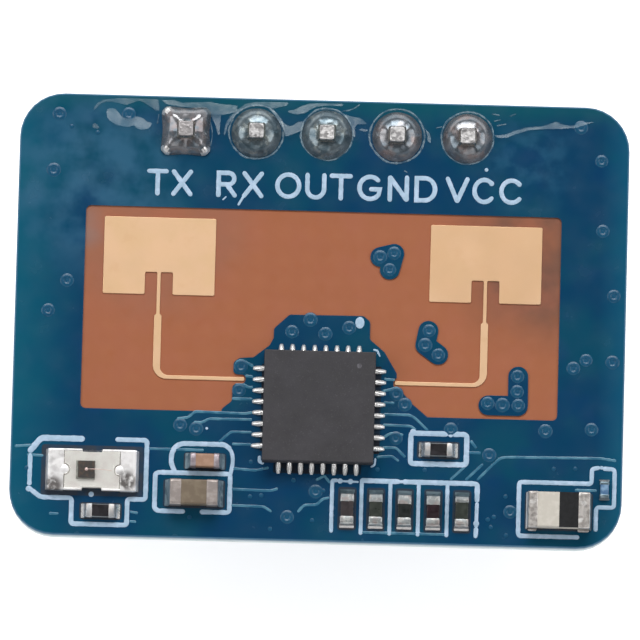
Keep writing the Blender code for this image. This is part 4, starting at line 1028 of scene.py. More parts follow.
# %% Pins and strip
pin_shape = bmesh.new()
PINS = [f"header_pin_{number}" for number in range(1, 6)]
for node in PINS:
    low, high = box_mm(node)
    centre = (low + high) / 2
    half = (high.x - low.x) / 2
    rings = []
    for level, share, corner in (
        (low.z, 0.40, 0.12),
        (low.z + 0.03, 0.47, 0.11),
        (low.z + 0.34, 0.97, 0.07),
        (low.z + 0.42, 1.0, 0.06),
        (high.z - 0.26, 1.0, 0.06),
        (high.z - 0.10, 0.82, 0.06),
        (high.z - 0.012, 0.80, 0.07),
        (high.z, 0.74, 0.08),
    ):
        rings.append(ring_at(rounded_rectangle(half * share, half * share, corner, 3), level, centre))
    for face in add_loft(pin_shape, rings):
        face.material_index = 1 if face.calc_center_median().z > high.z - 0.12 else 0
make_piece("header_pins", pin_shape, (pin_metal, cut_end), PINS)

strip_shape = solid_copy("header_strip")
soften(strip_shape, 0.05, 2)
make_piece("header_housing", strip_shape, (nylon,), ("header_strip",))

# %% [markdown]
# A joint is drawn in rings from the pad's rim to the pin. The rings climb fast at first
# and then gently, which makes a full dome, and a little noise keeps the metal from
# looking turned. The square joint's rings follow its pad, with a bead at three corners.

# %% The header's solder joints
JOINTS = [f"solder_joint_{number}" for number in range(1, 6)]
JOINT_SIDES = 64
JOINT_STEPS = 22
BARREL_RADIUS = 0.50
PIN_REACH = 0.27  # where the solder ends on the pin
STEEP_PART = 0.42  # of the way in from the pad's rim, where the solder climbs fastest
FULLNESS = (1.5, 1.7, 1.8, 1.7, 1.7)  # how domed each joint is
FLUXED = (1, 2)  # the joints, counted from 0, that are darkest under flux
LUMPS = (0.028, 0.022, 0.026, 0.008, 0.008)  # how lumpy each joint is
PILLOW_REACH = 1.27  # the square joint's corners, in half sides of its pad
BEAD_PLACE = 0.84  # of the way out to the pad's corner
BEADS = (((-1, -1), 0.10), ((1, -1), 0.10), ((-1, 1), 0.05))
BEAD_REACH = 0.14
joint_shape = bmesh.new()
for number, node in enumerate(JOINTS):
    low, high = box_mm(node)
    middle = (low + high) / 2
    pad = (high.x - low.x) / 2
    top = high.z - FACE
    square = number == 0
    corners = [(Vector(sides) * BEAD_PLACE * pad, swell) for sides, swell in BEADS]
    barrel = circle_path((0.0, 0.0), BARREL_RADIUS, JOINT_SIDES)
    rings = [ring_at(barrel, level, middle) for level in (BACK + 0.01, FACE - 0.02)]
    for step in range(JOINT_STEPS + 1):
        share = step / JOINT_STEPS
        steep = min(1.0, share / STEEP_PART)
        gentle = max(0.0, (share - STEEP_PART) / (1 - STEEP_PART))
        climb = 0.75 * (1.25 * steep - 0.25 * steep ** 2) + 0.25 * (1 - (1 - gentle) ** FULLNESS[number])
        bulge = 4 * share * (1 - share)
        ring = []
        for index in range(JOINT_SIDES):
            turn = 2 * math.pi * index / JOINT_SIDES
            across, up = math.cos(turn), math.sin(turn)
            if square:
                reach = min(pad / max(abs(across), abs(up)), pad * PILLOW_REACH)
                reach *= 1 - 0.055 * math.cos(2 * turn) ** 2
            else:
                reach = pad * (1 + 0.012 * wobble(across, up, 0.5, 11.0 + number))
            radius = reach + share * (PIN_REACH - reach)
            x, y = radius * across, radius * up
            height = 0.02 + (top - 0.03) * climb
            height += LUMPS[number] * bulge * wobble(x, y, 0.36, 20.0 + number)
            height += 0.006 * math.sin(9 * turn + number) * bulge
            if square:
                height -= 0.045 * bulge * math.cos(4 * turn)
                for (side_x, side_y), swell in BEADS:
                    apart = math.hypot(x - side_x * BEAD_PLACE * pad, y - side_y * BEAD_PLACE * pad)
                    height += swell * math.exp(-(apart / BEAD_REACH) ** 2)
            ring.append((middle.x + x, middle.y + y, FACE + max(0.0, height)))
        rings.append(ring)
    # Faces near the square joint's beads take the brighter tin of the toes: a painted highlight at the corners.
    for face in add_loft(joint_shape, rings, finish=2 if number in FLUXED else 0):
        spot = face.calc_center_median().xy - middle.xy
        if square and min((spot - corner).length for corner, swell in corners) < BEAD_REACH * 1.2:
            face.material_index = 1
joint_finishes = (header_solder, toe_solder, fluxed_solder)
make_piece("header_solder_joints", joint_shape, joint_finishes, JOINTS, angle=50)

# %% [markdown]
# ## Flux
# Hand soldering leaves rosin flux: a clear film that pooled between the joints and the
# board's far edge and froze there. It has no colour of its own to speak of; what shows
# are the pale reflections of its tops, which fall towards the far edge and so mirror the
# far soft box. Each pool is drawn as an outline with such a sloping top, in a metal-like
# gloss that is almost wholly see-through. Where a pool dried out it left a pale rim.

# %% Flux finishes
# A glassy film: only a share of each reflection is left, and the board shows through.
flux = Finish("set_rosin_flux", "#9aa3a6", 0.30, metallic=1.0)
flux.fix("Alpha", 0.09).mottle("#78878e", 0.5, 0.40, 0.66).patchy_gloss(0.5, 0.26, 0.36).grain(0.80, 0.005)

# Where the film dried to an edge it turned milky.
rosin_rim = Finish("dried_rosin_rim", "#a5bcc8", 0.35, ior=1.5)
rosin_rim.fix("Alpha", 0.40).mottle("#5c7d92", 0.25, 0.40, 0.62).grain(0.20, 0.002)

# %% Outlines of the flux pools, each with the tilt of its top in degrees
POOLS = (
    (14, ((-7.92, 7.36), (-7.84, 7.48), (-7.64, 7.5), (-7.48, 7.36), (-7.38, 7.2), (-7.2, 7.12), (-6.96, 7.14),
          (-6.8, 7.22), (-6.56, 7.14), (-6.44, 7.02), (-6.25, 6.98), (-6.32, 6.82), (-6.44, 6.75), (-6.68, 6.71),
          (-6.84, 6.8), (-6.9, 6.88), (-7.12, 6.8), (-7.4, 6.84), (-7.64, 6.92), (-7.86, 7.1))),
    (10, ((-8.4, 7.4), (-8.26, 7.66), (-8.0, 7.8), (-7.6, 7.86), (-6.9, 7.88), (-6.05, 7.86), (-6.0, 7.42),
         (-6.24, 7.52), (-6.48, 7.68), (-6.72, 7.8), (-6.96, 7.72), (-7.2, 7.62), (-7.5, 7.7), (-7.84, 7.74),
         (-8.1, 7.66), (-8.3, 7.46))),
    (13, ((-5.95, 7.82), (-5.48, 7.86), (-5.2, 7.76), (-4.8, 7.78), (-4.2, 7.82), (-3.7, 7.74), (-3.2, 7.72),
          (-3.2, 7.5), (-3.44, 7.4), (-3.76, 7.34), (-4.16, 7.34), (-4.34, 7.48), (-4.8, 7.58), (-5.28, 7.62),
          (-5.7, 7.68))),
    (13, ((-4.16, 7.36), (-3.76, 7.34), (-3.8, 7.0), (-3.8, 6.62), (-3.86, 6.6), (-3.96, 6.96))),
    (13, ((-3.1, 7.5), (-3.36, 7.24), (-3.52, 6.96), (-3.6, 6.6), (-3.66, 6.62), (-3.6, 7.0), (-3.42, 7.34),
          (-3.2, 7.56))),
    (13, ((-3.2, 7.54), (-2.9, 7.78), (-2.5, 7.86), (-2.02, 7.88), (-1.35, 7.88), (-1.4, 7.76), (-1.7, 7.68),
          (-1.94, 7.62), (-2.18, 7.68), (-2.5, 7.72), (-2.82, 7.66), (-3.1, 7.5))),
    (13, ((-1.98, 7.56), (-1.78, 7.3), (-1.6, 7.02), (-1.48, 6.8), (-1.42, 6.6), (-1.26, 6.66), (-1.06, 6.74),
          (-0.86, 6.84), (-0.76, 7.1), (-0.82, 7.18), (-0.98, 7.18), (-1.14, 7.04), (-1.3, 6.98), (-1.52, 7.12),
          (-1.7, 7.4), (-1.92, 7.62))),
    (14, ((-1.38, 7.56), (-1.14, 7.6), (-0.9, 7.74), (-0.58, 7.86), (-0.1, 7.88), (0.6, 7.88), (0.62, 7.8),
          (0.14, 7.8), (-0.3, 7.76), (-0.54, 7.64), (-0.74, 7.5), (-0.98, 7.44), (-1.3, 7.48))),
    (13, ((0.6, 7.52), (0.9, 7.44), (1.26, 7.36), (1.5, 7.16), (1.12, 7.14), (1.06, 6.96), (1.1, 6.64),
          (1.0, 6.68), (0.98, 6.96), (0.82, 7.26))),
    (14, ((1.18, 6.94), (1.34, 7.0), (1.58, 6.95), (1.46, 6.88))),
    (14, ((3.6, 7.04), (3.76, 6.9), (3.82, 6.7), (3.8, 6.5), (3.7, 6.6), (3.68, 6.85))),
    (16, ((6.1, 6.85), (6.53, 6.9), (6.8, 7.04), (7.33, 7.2), (7.87, 7.25), (8.3, 7.44), (8.67, 7.31),
          (8.93, 7.3), (9.15, 7.42), (9.7, 7.47), (9.4, 7.36), (9.0, 7.22), (8.4, 7.17), (7.87, 7.15),
          (7.33, 7.09), (6.9, 6.93), (6.53, 6.78), (6.27, 6.76))),
    (9, ((-8.42, 6.86), (-8.3, 6.95), (-8.2, 6.84), (-8.14, 6.74), (-8.36, 6.74))),
)
RIMS = (
    ((-4.16, 7.1), (-4.08, 6.8), (-4.07, 6.5), (-4.12, 6.25), (-4.24, 6.02)),
    ((0.62, 7.62), (0.82, 7.64), (1.06, 7.74), (1.2, 7.86)),
    ((-6.02, 7.3), (-6.06, 7.0)),
    ((6.02, 7.66), (6.25, 7.62)),
    ((6.1, 7.4), (6.3, 7.45)),
    ((6.2, 7.24), (6.5, 7.3)),
    ((6.66, 7.6), (6.84, 7.68)),
    ((4.02, 7.1), (4.2, 7.14)),
    ((2.9, 5.5), (2.98, 5.46)),
)
print(len(POOLS), "pools and", len(RIMS), "dried rims")

# %% The flux
RIM_REACH = (0.08, 0.03, 0.08, 0.04)  # how far the dried rim lies outside joints 2 to 5
flux_shape = bmesh.new()
for tilt, outline in POOLS:
    outline = round_path(outline, 0.06, closed=True)
    north = max(point.y for point in outline)
    rise = math.tan(math.radians(tilt))
    crown = [(p.x, p.y, FACE + 0.012 + rise * (north - p.y)) for p in outline]
    add_loft(flux_shape, [ring_at(outline, FACE - SINK), crown])
for points in RIMS:
    path = resample(round_path(points, 0.1), 0.08)
    add_ribbon(flux_shape, path, 0.045, FACE - SINK, 0.018 + SINK, finish=1, waver=0.4)
for node, beyond in zip(JOINTS[1:], RIM_REACH):
    low, high = box_mm(node)
    middle = (low + high) / 2
    ring = circle_path((middle.x, middle.y + 0.03), (high.x - low.x) / 2 + beyond, 72)
    ring = [p + (p - middle.xy) * 0.04 * wobble(p.x, p.y, 0.5, 70.0) for p in ring]
    add_ribbon(flux_shape, ring, 0.07, FACE - SINK, 0.02 + SINK, closed=True, waver=0.7, finish=1)
make_piece("flux_film", flux_shape, (flux, rosin_rim), angle=30)

# %% [markdown]
# ## Chip components
# A chip resistor is a sawn plate of white alumina with a dark glaze on its upper face;
# a chip capacitor or inductor is a solid fired block with tumbled, rounded edges. Both
# ends are dipped in metal and wetted by solder, which pulls up the end face in a hollow
# fillet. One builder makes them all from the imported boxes, so each sits where it was
# drawn.

# %% Ceramic finishes
# Sawn ceramic plate, matt and fine: a cool grey in the shade of its glaze.
alumina = Finish("sawn_alumina", "#8b9092", 0.55, ior=1.76)
alumina.mottle("#74797c", 0.12, 0.40, 0.66).grain(0.03, 0.002)


def glaze(name, colour, lighter, roughness=0.34):
    """A fired or printed coat, with small clouds in its colour and gloss."""
    coat = Finish(name, colour, roughness, ior=1.55).fix("Specular IOR Level", 0.3)
    coat.mottle(lighter, 0.22, 0.42, 0.68).patchy_gloss(0.15, roughness - 0.08, roughness + 0.12)
    return coat.grain(0.05, 0.002)


black_glaze = glaze("black_overglaze", "#1e1c1f", "#29262a")
ROW_GLAZES = (
    glaze("brown_ferrite_glaze", "#322d2e", "#3c3637"),
    glaze("olive_ferrite_glaze", "#2b302b", "#353a34"),
    glaze("slate_ferrite_glaze", "#141817", "#1d2221"),
    glaze("maroon_ferrite_glaze", "#201217", "#2a1a20"),
    glaze("green_ferrite_glaze", "#2b302b", "#353a34"),
)
tan_ceramic = glaze("fired_tan_ceramic", "#997863", "#a68571", 0.5)
brown_ceramic = glaze("fired_brown_ceramic", "#6e6151", "#796c5b", 0.5)
cream_ceramic = glaze("fired_cream_ceramic", "#c1bbb0", "#cac4ba", 0.5)
blue_ceramic = glaze("fired_blue_ceramic", "#4a6c90", "#7e9db8", 0.4)
band_ink = glaze("black_marking_ink", "#0c0d0f", "#131417", 0.62)

# %% [markdown]
# Each end is one loft: sections that start inside the body, wrap over its end as a thin
# cup of metal, and then sink along the hollow of solder that runs out on the pad. A slow
# waver keeps the parts of a row from looking alike.

# %% Sections and fillets
CUP_WALL = 0.02  # thickness of the metal on a part's end
SPREAD = 0.015  # how far the solder at a chip's end stands out beside it
# How far out along the pad, and how high up the end: a full fillet, then a lean one.
FILLETS = (
    ((0.04, 0.98), (0.15, 0.90), (0.30, 0.74), (0.45, 0.52), (0.58, 0.32), (0.70, 0.24), (0.86, 0.17), (1.0, 0.02)),
    ((0.03, 0.86), (0.08, 0.66), (0.2, 0.47), (0.38, 0.31), (0.6, 0.19), (0.8, 0.11), (0.94, 0.06), (1.0, 0.02)),
)


def section(out, half, low, high, radius):
    """A rounded upright section of a chip component, at this distance from its middle."""
    middle = (low + high) / 2
    outline = rounded_rectangle(half, (high - low) / 2, min(radius, half * 0.9, (high - low) * 0.45), 3)
    return [(out, point.x, middle + point.y) for point in outline]


def add_fillet_rings(rings, face_x, reach, half, profile, height_scale):
    """The hollow of solder that runs down from a chip's end face to the end of its pad."""
    for share, climb in profile:
        spread = half - 0.012 + (SPREAD + 0.012) * min(1.0, share * 3)
        if share > 0.9:
            spread -= 0.2 * (share - 0.9)
        rings.append(section(face_x + share * reach, spread, 0.003, max(0.012, climb * height_scale), 0.05))


# %% One chip component


def dress_chip(
    name,
    body_finishes,
    edge,
    slot,
    coat=0.0,
    bands=(),
    plating=tinned,
    fillets=(solder, solder),
    lip=0.0,
    full_foot=False,
    wraps=(0.0, 0.0),
):
    """Body, coat and two soldered ends of a chip component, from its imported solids."""
    low, high = box_mm(name + "_body")
    end_low, end_high = box_mm(name + "_terminal_2")
    middle = (low + high) / 2
    axis = 1 if high.y - low.y > high.x - low.x else 0
    move = Matrix.Translation((middle.x, middle.y, FACE)) @ Matrix.Rotation(math.pi / 2 * axis, 4, "Z")
    half_length = (high[axis] - low[axis]) / 2
    half_width = (high[1 - axis] - low[1 - axis]) / 2
    bottom, top = low.z - FACE, high.z - FACE
    cup_top = box_mm(name + "_terminal_1")[1].z - FACE
    inner = end_low[axis] - middle[axis]
    reach = end_high[axis] - middle[axis] - half_length - CUP_WALL
    shape = bmesh.new()
    add_block(shape, (-half_length, -half_width, bottom), (half_length, half_width, top - coat), edge, 3)
    if coat:
        coat_half = Vector((inner + 0.03, half_width - 0.015))
        coat_low, coat_high = (*-coat_half, top - coat - 0.02), (*coat_half, top + 0.006)
        add_block(shape, coat_low, coat_high, 0.018, 2, finish=1)
    for start, end in bands:
        band_low, band_high = (start, -half_width - 0.001, top - 0.2), (end, half_width + 0.001, top + 0.004)
        add_block(shape, band_low, band_high, 0.003, 1, finish=1)
    shape.transform(move)
    make_piece(name, shape, body_finishes, (name + "_body",))

    ends_shape = bmesh.new()
    half = half_width + CUP_WALL
    face_x = half_length + CUP_WALL
    seed = middle.x * 1.7 + middle.y
    for side, wrap in zip((-1, 1), wraps):
        rim = inner - wrap
        rings = [
            section(rim + 0.06, half_width - 0.02, 0.03, cup_top - 0.05, edge),
            section(rim + 0.012, half_width + 0.004, 0.01, cup_top - 0.018, edge + 0.01),
            section(rim, half - 0.007, 0.004, cup_top - 0.008, edge + 0.015),
            section(rim + 0.025, half, 0.004, cup_top, edge + 0.02),
            section((rim + face_x) / 2, half, 0.004, cup_top + 0.002, edge + 0.03),
            section(face_x - 0.035, half - 0.004, 0.004, cup_top - 0.004, edge + 0.03),
            section(face_x - 0.008, half - 0.014, 0.004, cup_top - 0.030, edge + 0.02),
        ]
        add_fillet_rings(rings, face_x, reach, half, FILLETS[0 if side < 0 and full_foot else 1], cup_top)
        wavy = []
        for index, ring in enumerate(rings):
            amount = 0.004 if index < 3 else 0.009
            wavy.append([
                (
                    side * (x + amount * wobble(y * 2, z * 2, 0.16, seed + side)),
                    y + amount * 0.6 * wobble(x * 2, z * 2, 0.16, seed + side + 4),
                    max(0.002, z + (amount * wobble(x, y, 0.12, seed + side + 9) if z > 0.02 else 0.0)),
                )
                for x, y, z in ring
            ])
        for face in add_loft(ends_shape, wavy):
            out = abs(face.calc_center_median().x)
            if out > face_x - 0.01:
                # The far end of a full foot takes the nearly white pad tin, a painted highlight.
                on_foot = full_foot and side < 0 and out > face_x + 0.6 * reach
                face.material_index = 3 if on_foot else (1 if side < 0 else 2)
        if lip:
            lip_low = (min(side * rim, side * face_x), -half - lip, 0.0)
            lip_high = (max(side * rim, side * face_x), -half + 0.03, 0.16)
            add_block(ends_shape, lip_low, lip_high, 0.06, 3, finish=1)
    ends_shape.transform(move)
    end_finishes = (plating, *fillets, pad_tin)
    terminals = (name + "_terminal_1", name + "_terminal_2")
    make_piece(name + "_ends", ends_shape, end_finishes, terminals)


# %% [markdown]
# What differs from part to part is its glaze, its plating, how far the metal wraps over
# the body and how the solder took. So each part is one call.

# %% All the chip components
for name in ("sensor_resistor", "side_resistor"):
    dress_chip(name, (alumina, black_glaze), 0.02, coat=0.03, slot="resistor_glaze")
FAR_WRAPS = (0.065, 0.06, 0.11, 0.11, 0.0)
# The row's north fillets take the dim tin: painted shade.
row_ends = {"plating": row_tin, "fillets": (row_tin, dim_solder), "full_foot": True}
for number, (row_glaze, wrap) in enumerate(zip(ROW_GLAZES, FAR_WRAPS), start=1):
    row_slot = f"row_glaze_{number}"
    dress_chip(f"row_resistor_{number}", (row_glaze,), 0.03, slot=row_slot, wraps=(0.0, wrap), **row_ends)
shaded_fillets = (shaded_solder, shaded_solder)
tan_ends = {"plating": warm_tin, "fillets": shaded_fillets, "wraps": (-0.04, -0.04)}
dress_chip("tan_capacitor", (tan_ceramic,), 0.07, slot="tan_ceramic", **tan_ends)
dress_chip("large_capacitor", (brown_ceramic,), 0.06, slot="brown_ceramic", plating=dull_tin, fillets=shaded_fillets)
blue_ends = {"plating": shaded_solder, "fillets": (row_tin, row_tin)}
dress_chip("matching_inductor", (blue_ceramic,), 0.025, slot="blue_ceramic", **blue_ends)
dress_chip(
    "chip_antenna",
    (cream_ceramic, band_ink),
    0.03,
    bands=((0.0, 0.73),),
    slot="cream_ceramic",
    plating=weathered_tin,
    fillets=(weathered_tin, shaded_solder),
    lip=0.09,
    full_foot=True,
    wraps=(-0.09, 0.0),
)

# %% [markdown]
# ## The light sensor
# A photodiode sits on a small plate of white laminate with plated ends, under a block
# of clear casting resin. The plating shows at both ends as bright metal with a round
# lobe towards the middle, and the dark die carries a gold ball where its bond wire
# starts. The resin is truly transparent here, so that die, wire and plate are seen
# through it from any side.

# %% Sensor finishes
# White laminate under the sensor: bright, matt, a little stained.
white_plate = Finish("white_resin_laminate", "#e2e0d9", 0.55, ior=1.55)
white_plate.mottle("#d9d3cd", 0.5, 0.40, 0.66).grain(0.06, 0.002)

# The fine dark line where resin meets plating: a painted shadow under the resin's edge.
resin_edge_shadow = Finish("shadow_line_at_the_resin", "#6b6660", 0.6, ior=1.5)
resin_edge_shadow.mottle("#a39e96", 0.3, 0.44, 0.62).grain(0.05, 0.002)

# Clear cast epoxy: what shows is its gloss, the rest is seen through it.
resin = Finish("clear_cast_epoxy", "#f4f4f2", 0.10, metallic=1.0)
resin.fix("Alpha", 0.07).patchy_gloss(0.4, 0.06, 0.18).grain(0.3, 0.002)

# Etched silicon: dark grey with a brownish cast from its thin coatings.
silicon = Finish("etched_silicon", "#3c3a38", 0.35, ior=1.6)
silicon.mottle("#52453c", 0.12, 0.42, 0.64).grain(0.04, 0.002)

# Silver-filled paste squeezed out under the die: matt grey.
die_paste = Finish("die_attach_paste", "#a5a49b", 0.6, ior=1.5)
die_paste.mottle("#8b8b83", 0.1, 0.42, 0.64).grain(0.04, 0.004)

# Drawn gold wire and its melted ball, painted pale pinkish white as a painted highlight: a small warm spark.
bond_gold = Finish("drawn_gold_wire", "#ecccc4", 0.42, metallic=0.7)
bond_gold.mottle("#f4e0d8", 0.06, 0.42, 0.68).grain(0.03, 0.001)

# %% [markdown]
# The plate has a shallow notch in the middle of each long side. A thin dark ribbon on it
# is a painted shadow where resin meets plating, and follows the bite in the resin.

# %% The plate
plate_low, plate_high = box_mm("light_sensor_base")
lens_low, lens_high = box_mm("light_sensor_lens")
sensor_middle = (plate_low + plate_high) / 2
LENS_HALF = (lens_high.x - lens_low.x) / 2
BITE = 0.20  # radius of the half-round bite in each end of the resin
NOTCH_HALF = 0.37
NOTCH_DEPTH = 0.09
plate_half = (plate_high - plate_low) / 2
quarter = [
    (plate_half.x, plate_half.y),
    (NOTCH_HALF, plate_half.y),
    (NOTCH_HALF - 0.03, plate_half.y - NOTCH_DEPTH),
]
plate_outline = quarter + [(-x, y) for x, y in reversed(quarter)]
plate_outline += [(-x, -y) for x, y in plate_outline]
plate_shape = bmesh.new()
PLATE_RIM = (
    (plate_low.z, 0.01),
    (plate_low.z + 0.02, 0.0),
    (plate_high.z - 0.012, 0.0),
    (plate_high.z, 0.012),
)
rings = []
for level, inset in PLATE_RIM:
    shrink = 1 - inset / plate_half.y
    rings.append(ring_at([(x * shrink, y * shrink) for x, y in plate_outline], level, sensor_middle))
add_loft(plate_shape, rings)
bite = [(LENS_HALF - BITE * math.sin(turn), BITE * math.cos(turn)) for turn in
        (math.pi * step / 12 for step in range(1, 12))]
line_end = plate_half.y - 0.06
line = [(LENS_HALF, line_end), (LENS_HALF, BITE), *bite, (LENS_HALF, -BITE), (LENS_HALF, -line_end)]
for side in (-1, 1):
    path = [Vector((side * x, y)) + sensor_middle.xy for x, y in line]
    add_ribbon(plate_shape, path, 0.03, plate_high.z - 0.01, 0.028, finish=1)
plate_finishes = (white_plate, resin_edge_shadow)
make_piece("light_sensor_plate", plate_shape, plate_finishes, ("light_sensor_base",))

# %% [markdown]
# Each end is a cup of metal over the plate's end, with a narrow wing along both long
# sides under the resin and a round lobe that fills the bite in the resin.

# %% The sensor's plated ends
ends_shape = bmesh.new()
half = plate_half.y + CUP_WALL
body_end = plate_half.x + CUP_WALL
top = plate_high.z + CUP_WALL - FACE
inner = LENS_HALF + 0.02
for number, side in ((1, -1), (2, 1)):
    low, high = box_mm(f"light_sensor_terminal_{number}")
    outer = abs((low.x if side < 0 else high.x) - sensor_middle.x)
    rings = [
        section(inner + 0.05, half - 0.04, 0.03, top - 0.05, 0.03),
        section(inner + 0.01, half - 0.018, 0.012, top - 0.016, 0.03),
        section(inner, half - 0.006, 0.005, top - 0.006, 0.035),
        section(inner + 0.03, half, 0.004, top, 0.04),
    ]
    for share in (step / 7 for step in range(1, 7)):
        rings.append(section(inner + 0.03 + share * (body_end - inner - 0.06), half, 0.004, top, 0.045))
    rings.append(section(body_end - 0.02, half - 0.008, 0.004, top - 0.012, 0.045))
    rings.append(section(body_end, half - 0.02, 0.004, top - 0.05, 0.04))
    for share, climb in ((0.2, 0.6), (0.5, 0.35), (0.8, 0.15), (1.0, 0.05)):
        rings.append(section(body_end + share * (outer - body_end), half - 0.02, 0.003, climb * top, 0.03))
    wavy = [
        [
            (
                sensor_middle.x + side * x,
                sensor_middle.y + y,
                FACE + max(0.002, z + (0.012 * wobble(x * side, y, 0.3, 44.0) if z > 0.2 else 0.0)),
            )
            for x, y, z in ring
        ]
        for ring in rings
    ]
    add_loft(ends_shape, wavy)
    near_x, far_x = sorted((sensor_middle.x + side * 0.36, sensor_middle.x + side * (inner + 0.06)))
    for edge_side in (1, -1):
        wing_y = sensor_middle.y + edge_side * (half - 0.045)
        wing_low = (near_x, wing_y - 0.04, plate_high.z - 0.10)
        wing_high = (far_x, wing_y + 0.04, plate_high.z + 0.016)
        add_block(ends_shape, wing_low, wing_high, 0.02, 3)
    lobe = [(0.0, -0.02), (BITE - 0.03, -0.02), (BITE - 0.04, 0.004), (BITE - 0.09, 0.016), (0.0, 0.02)]
    add_drop(ends_shape, (sensor_middle.x + side * LENS_HALF, sensor_middle.y), lobe, 28, level=plate_high.z + 0.012)
terminals = ("light_sensor_terminal_1", "light_sensor_terminal_2")
make_piece("light_sensor_ends", ends_shape, (sensor_plating,), terminals)

# %% [markdown]
# The die is a thin dark block on a little squeezed-out paste. The wire's melted ball
# sits on its pad, and the wire rises in an arc and comes down on the plating.

# %% Die, ball and bond wire
die_low, die_high = box_mm("light_sensor_die")
die_middle = (die_low + die_high) / 2
die_shape = bmesh.new()
add_block(die_shape, die_low, die_high, 0.012, 1)
paste_low = (die_low.x - 0.07, die_low.y - 0.05, die_low.z)
paste_high = (die_high.x + 0.02, die_high.y + 0.03, die_low.z + 0.03)
add_block(die_shape, paste_low, paste_high, 0.02, 2, finish=1)
PAD_HALF = 0.16
pad_low = (die_middle.x - PAD_HALF, die_middle.y - PAD_HALF, die_high.z - 0.01)
pad_high = (die_middle.x + PAD_HALF, die_middle.y + PAD_HALF, die_high.z + 0.004)
add_block(die_shape, pad_low, pad_high, 0.003, 1)
make_piece("light_sensor_silicon", die_shape, (silicon, die_paste), ("light_sensor_die",))
wire_shape = bmesh.new()
ball = [(0.0, 0.0), (0.05, 0.0), (0.062, 0.02), (0.05, 0.045), (0.02, 0.06), (0.0, 0.062)]
add_drop(wire_shape, (die_middle.x, die_middle.y), ball, 20, level=die_high.z + 0.002)
WIRE_RADIUS = 0.009
WIRE_STEPS = 20
WIRE_RISE = 0.17
wire_end = Vector((sensor_middle.x + LENS_HALF - 0.28, sensor_middle.y - 0.02, plate_high.z + 0.03))
wire_start = Vector((die_middle.x, die_middle.y, die_high.z + 0.05))
rings = []
for share in (step / WIRE_STEPS for step in range(WIRE_STEPS + 1)):
    point = wire_start.lerp(wire_end, share)
    point.z += WIRE_RISE * math.sin(math.pi * share) ** 0.7
    rings.append([
        (point.x, point.y + WIRE_RADIUS * math.cos(turn), point.z + WIRE_RADIUS * math.sin(turn))
        for turn in (2 * math.pi * index / 8 for index in range(8))
    ])
add_loft(wire_shape, rings)
make_piece("light_sensor_bond_wire", wire_shape, (bond_gold,))

# %% [markdown]
# The resin stands over the plate with a half-round bite at both ends, where the lobes of
# the plating lie bare. Its upper edge is drawn in, so that it catches the light.

# %% The resin block
resin_shape = bmesh.new()
half_y = (lens_high.y - lens_low.y) / 2
BITE_STEPS = 14


def resin_outline(inset):
    """The block's outline with its two half-round bites, drawn in by the inset."""
    outline = []
    for side in (1, -1):
        outline.append(Vector((side * (LENS_HALF - inset), -side * (half_y - inset))))
        for step in range(BITE_STEPS + 1):
            turn = math.pi * (0.5 + step / BITE_STEPS)
            outline.append(Vector((
                side * (LENS_HALF - inset + BITE * math.cos(turn)),
                -side * (BITE + inset) * math.sin(turn),
            )))
        outline.append(Vector((side * (LENS_HALF - inset), side * (half_y - inset))))
    return outline


RESIN_LAYERS = (
    (plate_high.z + 0.004, 0.0),
    (lens_high.z - 0.03, 0.004),
    (lens_high.z - 0.008, 0.012),
    (lens_high.z, 0.03),
)
add_loft(resin_shape, [ring_at(resin_outline(inset), level, sensor_middle) for level, inset in RESIN_LAYERS])
make_piece("light_sensor_resin", resin_shape, (resin,), ("light_sensor_lens",))

# %% [markdown]
# ## Parts on the back
# The back carries what such a board needs and the front has no room for: a small
# wireless chip, two crystals in ceramic trays with metal lids, and the supply regulator
# on bent legs. They are dressed as plainly as on any such board.

# %% Back finishes
# Rolled nickel sheet: fine streaks about 0.05 mm apart along the rolling direction.
lid_metal = Finish("rolled_nickel_lid", "#c9c9c8", 0.28, metallic=1.0)
rolled = lid_metal.streaks((1.0, 14.0, 1.0), 1.6, CLOUD_DETAIL)
lid_metal.cover(rolled, "#b5b5b4").raise_surface(rolled, 0.002)
tray_ceramic = glaze("fired_dark_alumina", "#2d2a2c", "#3a3739", 0.5)

# %% Wireless chip
low, high = box_mm("wireless_chip")
middle = (low + high) / 2
WIRELESS_HALF = 1.5
wireless_shape = bmesh.new()
low_corner = (middle.x - WIRELESS_HALF, middle.y - WIRELESS_HALF, low.z)
high_corner = (middle.x + WIRELESS_HALF, middle.y + WIRELESS_HALF, BACK - STAND_OFF)
add_block(wireless_shape, low_corner, high_corner, CHIP_EDGE, 2)
dish = [(0.0, 0.003), (0.19, 0.002), (0.17, -0.003), (0.14, -0.0015), (0.0, -0.001)]
add_drop(wireless_shape, (middle.x + 0.94, middle.y - 0.94), dish, 28, finish=1, level=low.z)
make_piece("wireless_chip_package", wireless_shape, (compound, dimple_finish), ("wireless_chip",))
wireless_toes = bmesh.new()
reach = (high.x - low.x) / 2 - WIRELESS_HALF
add_toes(wireless_toes, middle, 2 * WIRELESS_HALF, 5, TOE_PITCH, 0.205, (reach,) * 4, TOE_RISE, BACK, -1)
make_piece("wireless_chip_solder", wireless_toes, (toe_solder,))

# %% Crystals
for node in ("radar_crystal", "wireless_crystal"):
    crystal_shape = solid_copy(node)
    low, high = box_mm(node)
    step = low.z + 0.19
    for face in crystal_shape.faces:
        face.material_index = 0 if face.calc_center_median().z > step + 0.02 else 1
    soften(crystal_shape, 0.03, 2)
    make_piece(node + "_can", crystal_shape, (tray_ceramic, lid_metal), (node,))

# %% Regulator
regulator_shape = solid_copy("regulator")
low, high = box_mm("regulator")
middle = (low + high) / 2
BODY_HALF = 0.80
for face in regulator_shape.faces:
    face.material_index = 1 if abs(face.calc_center_median().y - middle.y) > BODY_HALF + 0.01 else 0
soften(regulator_shape, 0.02, 2)
make_piece("regulator_package", regulator_shape, (compound, tinned), ("regulator",))

# %% [markdown]
# ## Floor, light and camera
# A product photograph of a board is lit from large soft boxes set well to the sides,
# so that the flat lacquer mirrors something dark and keeps its colour while every
# rounded rim picks up a box. The far box is the strongest. The floor is plain and pale.

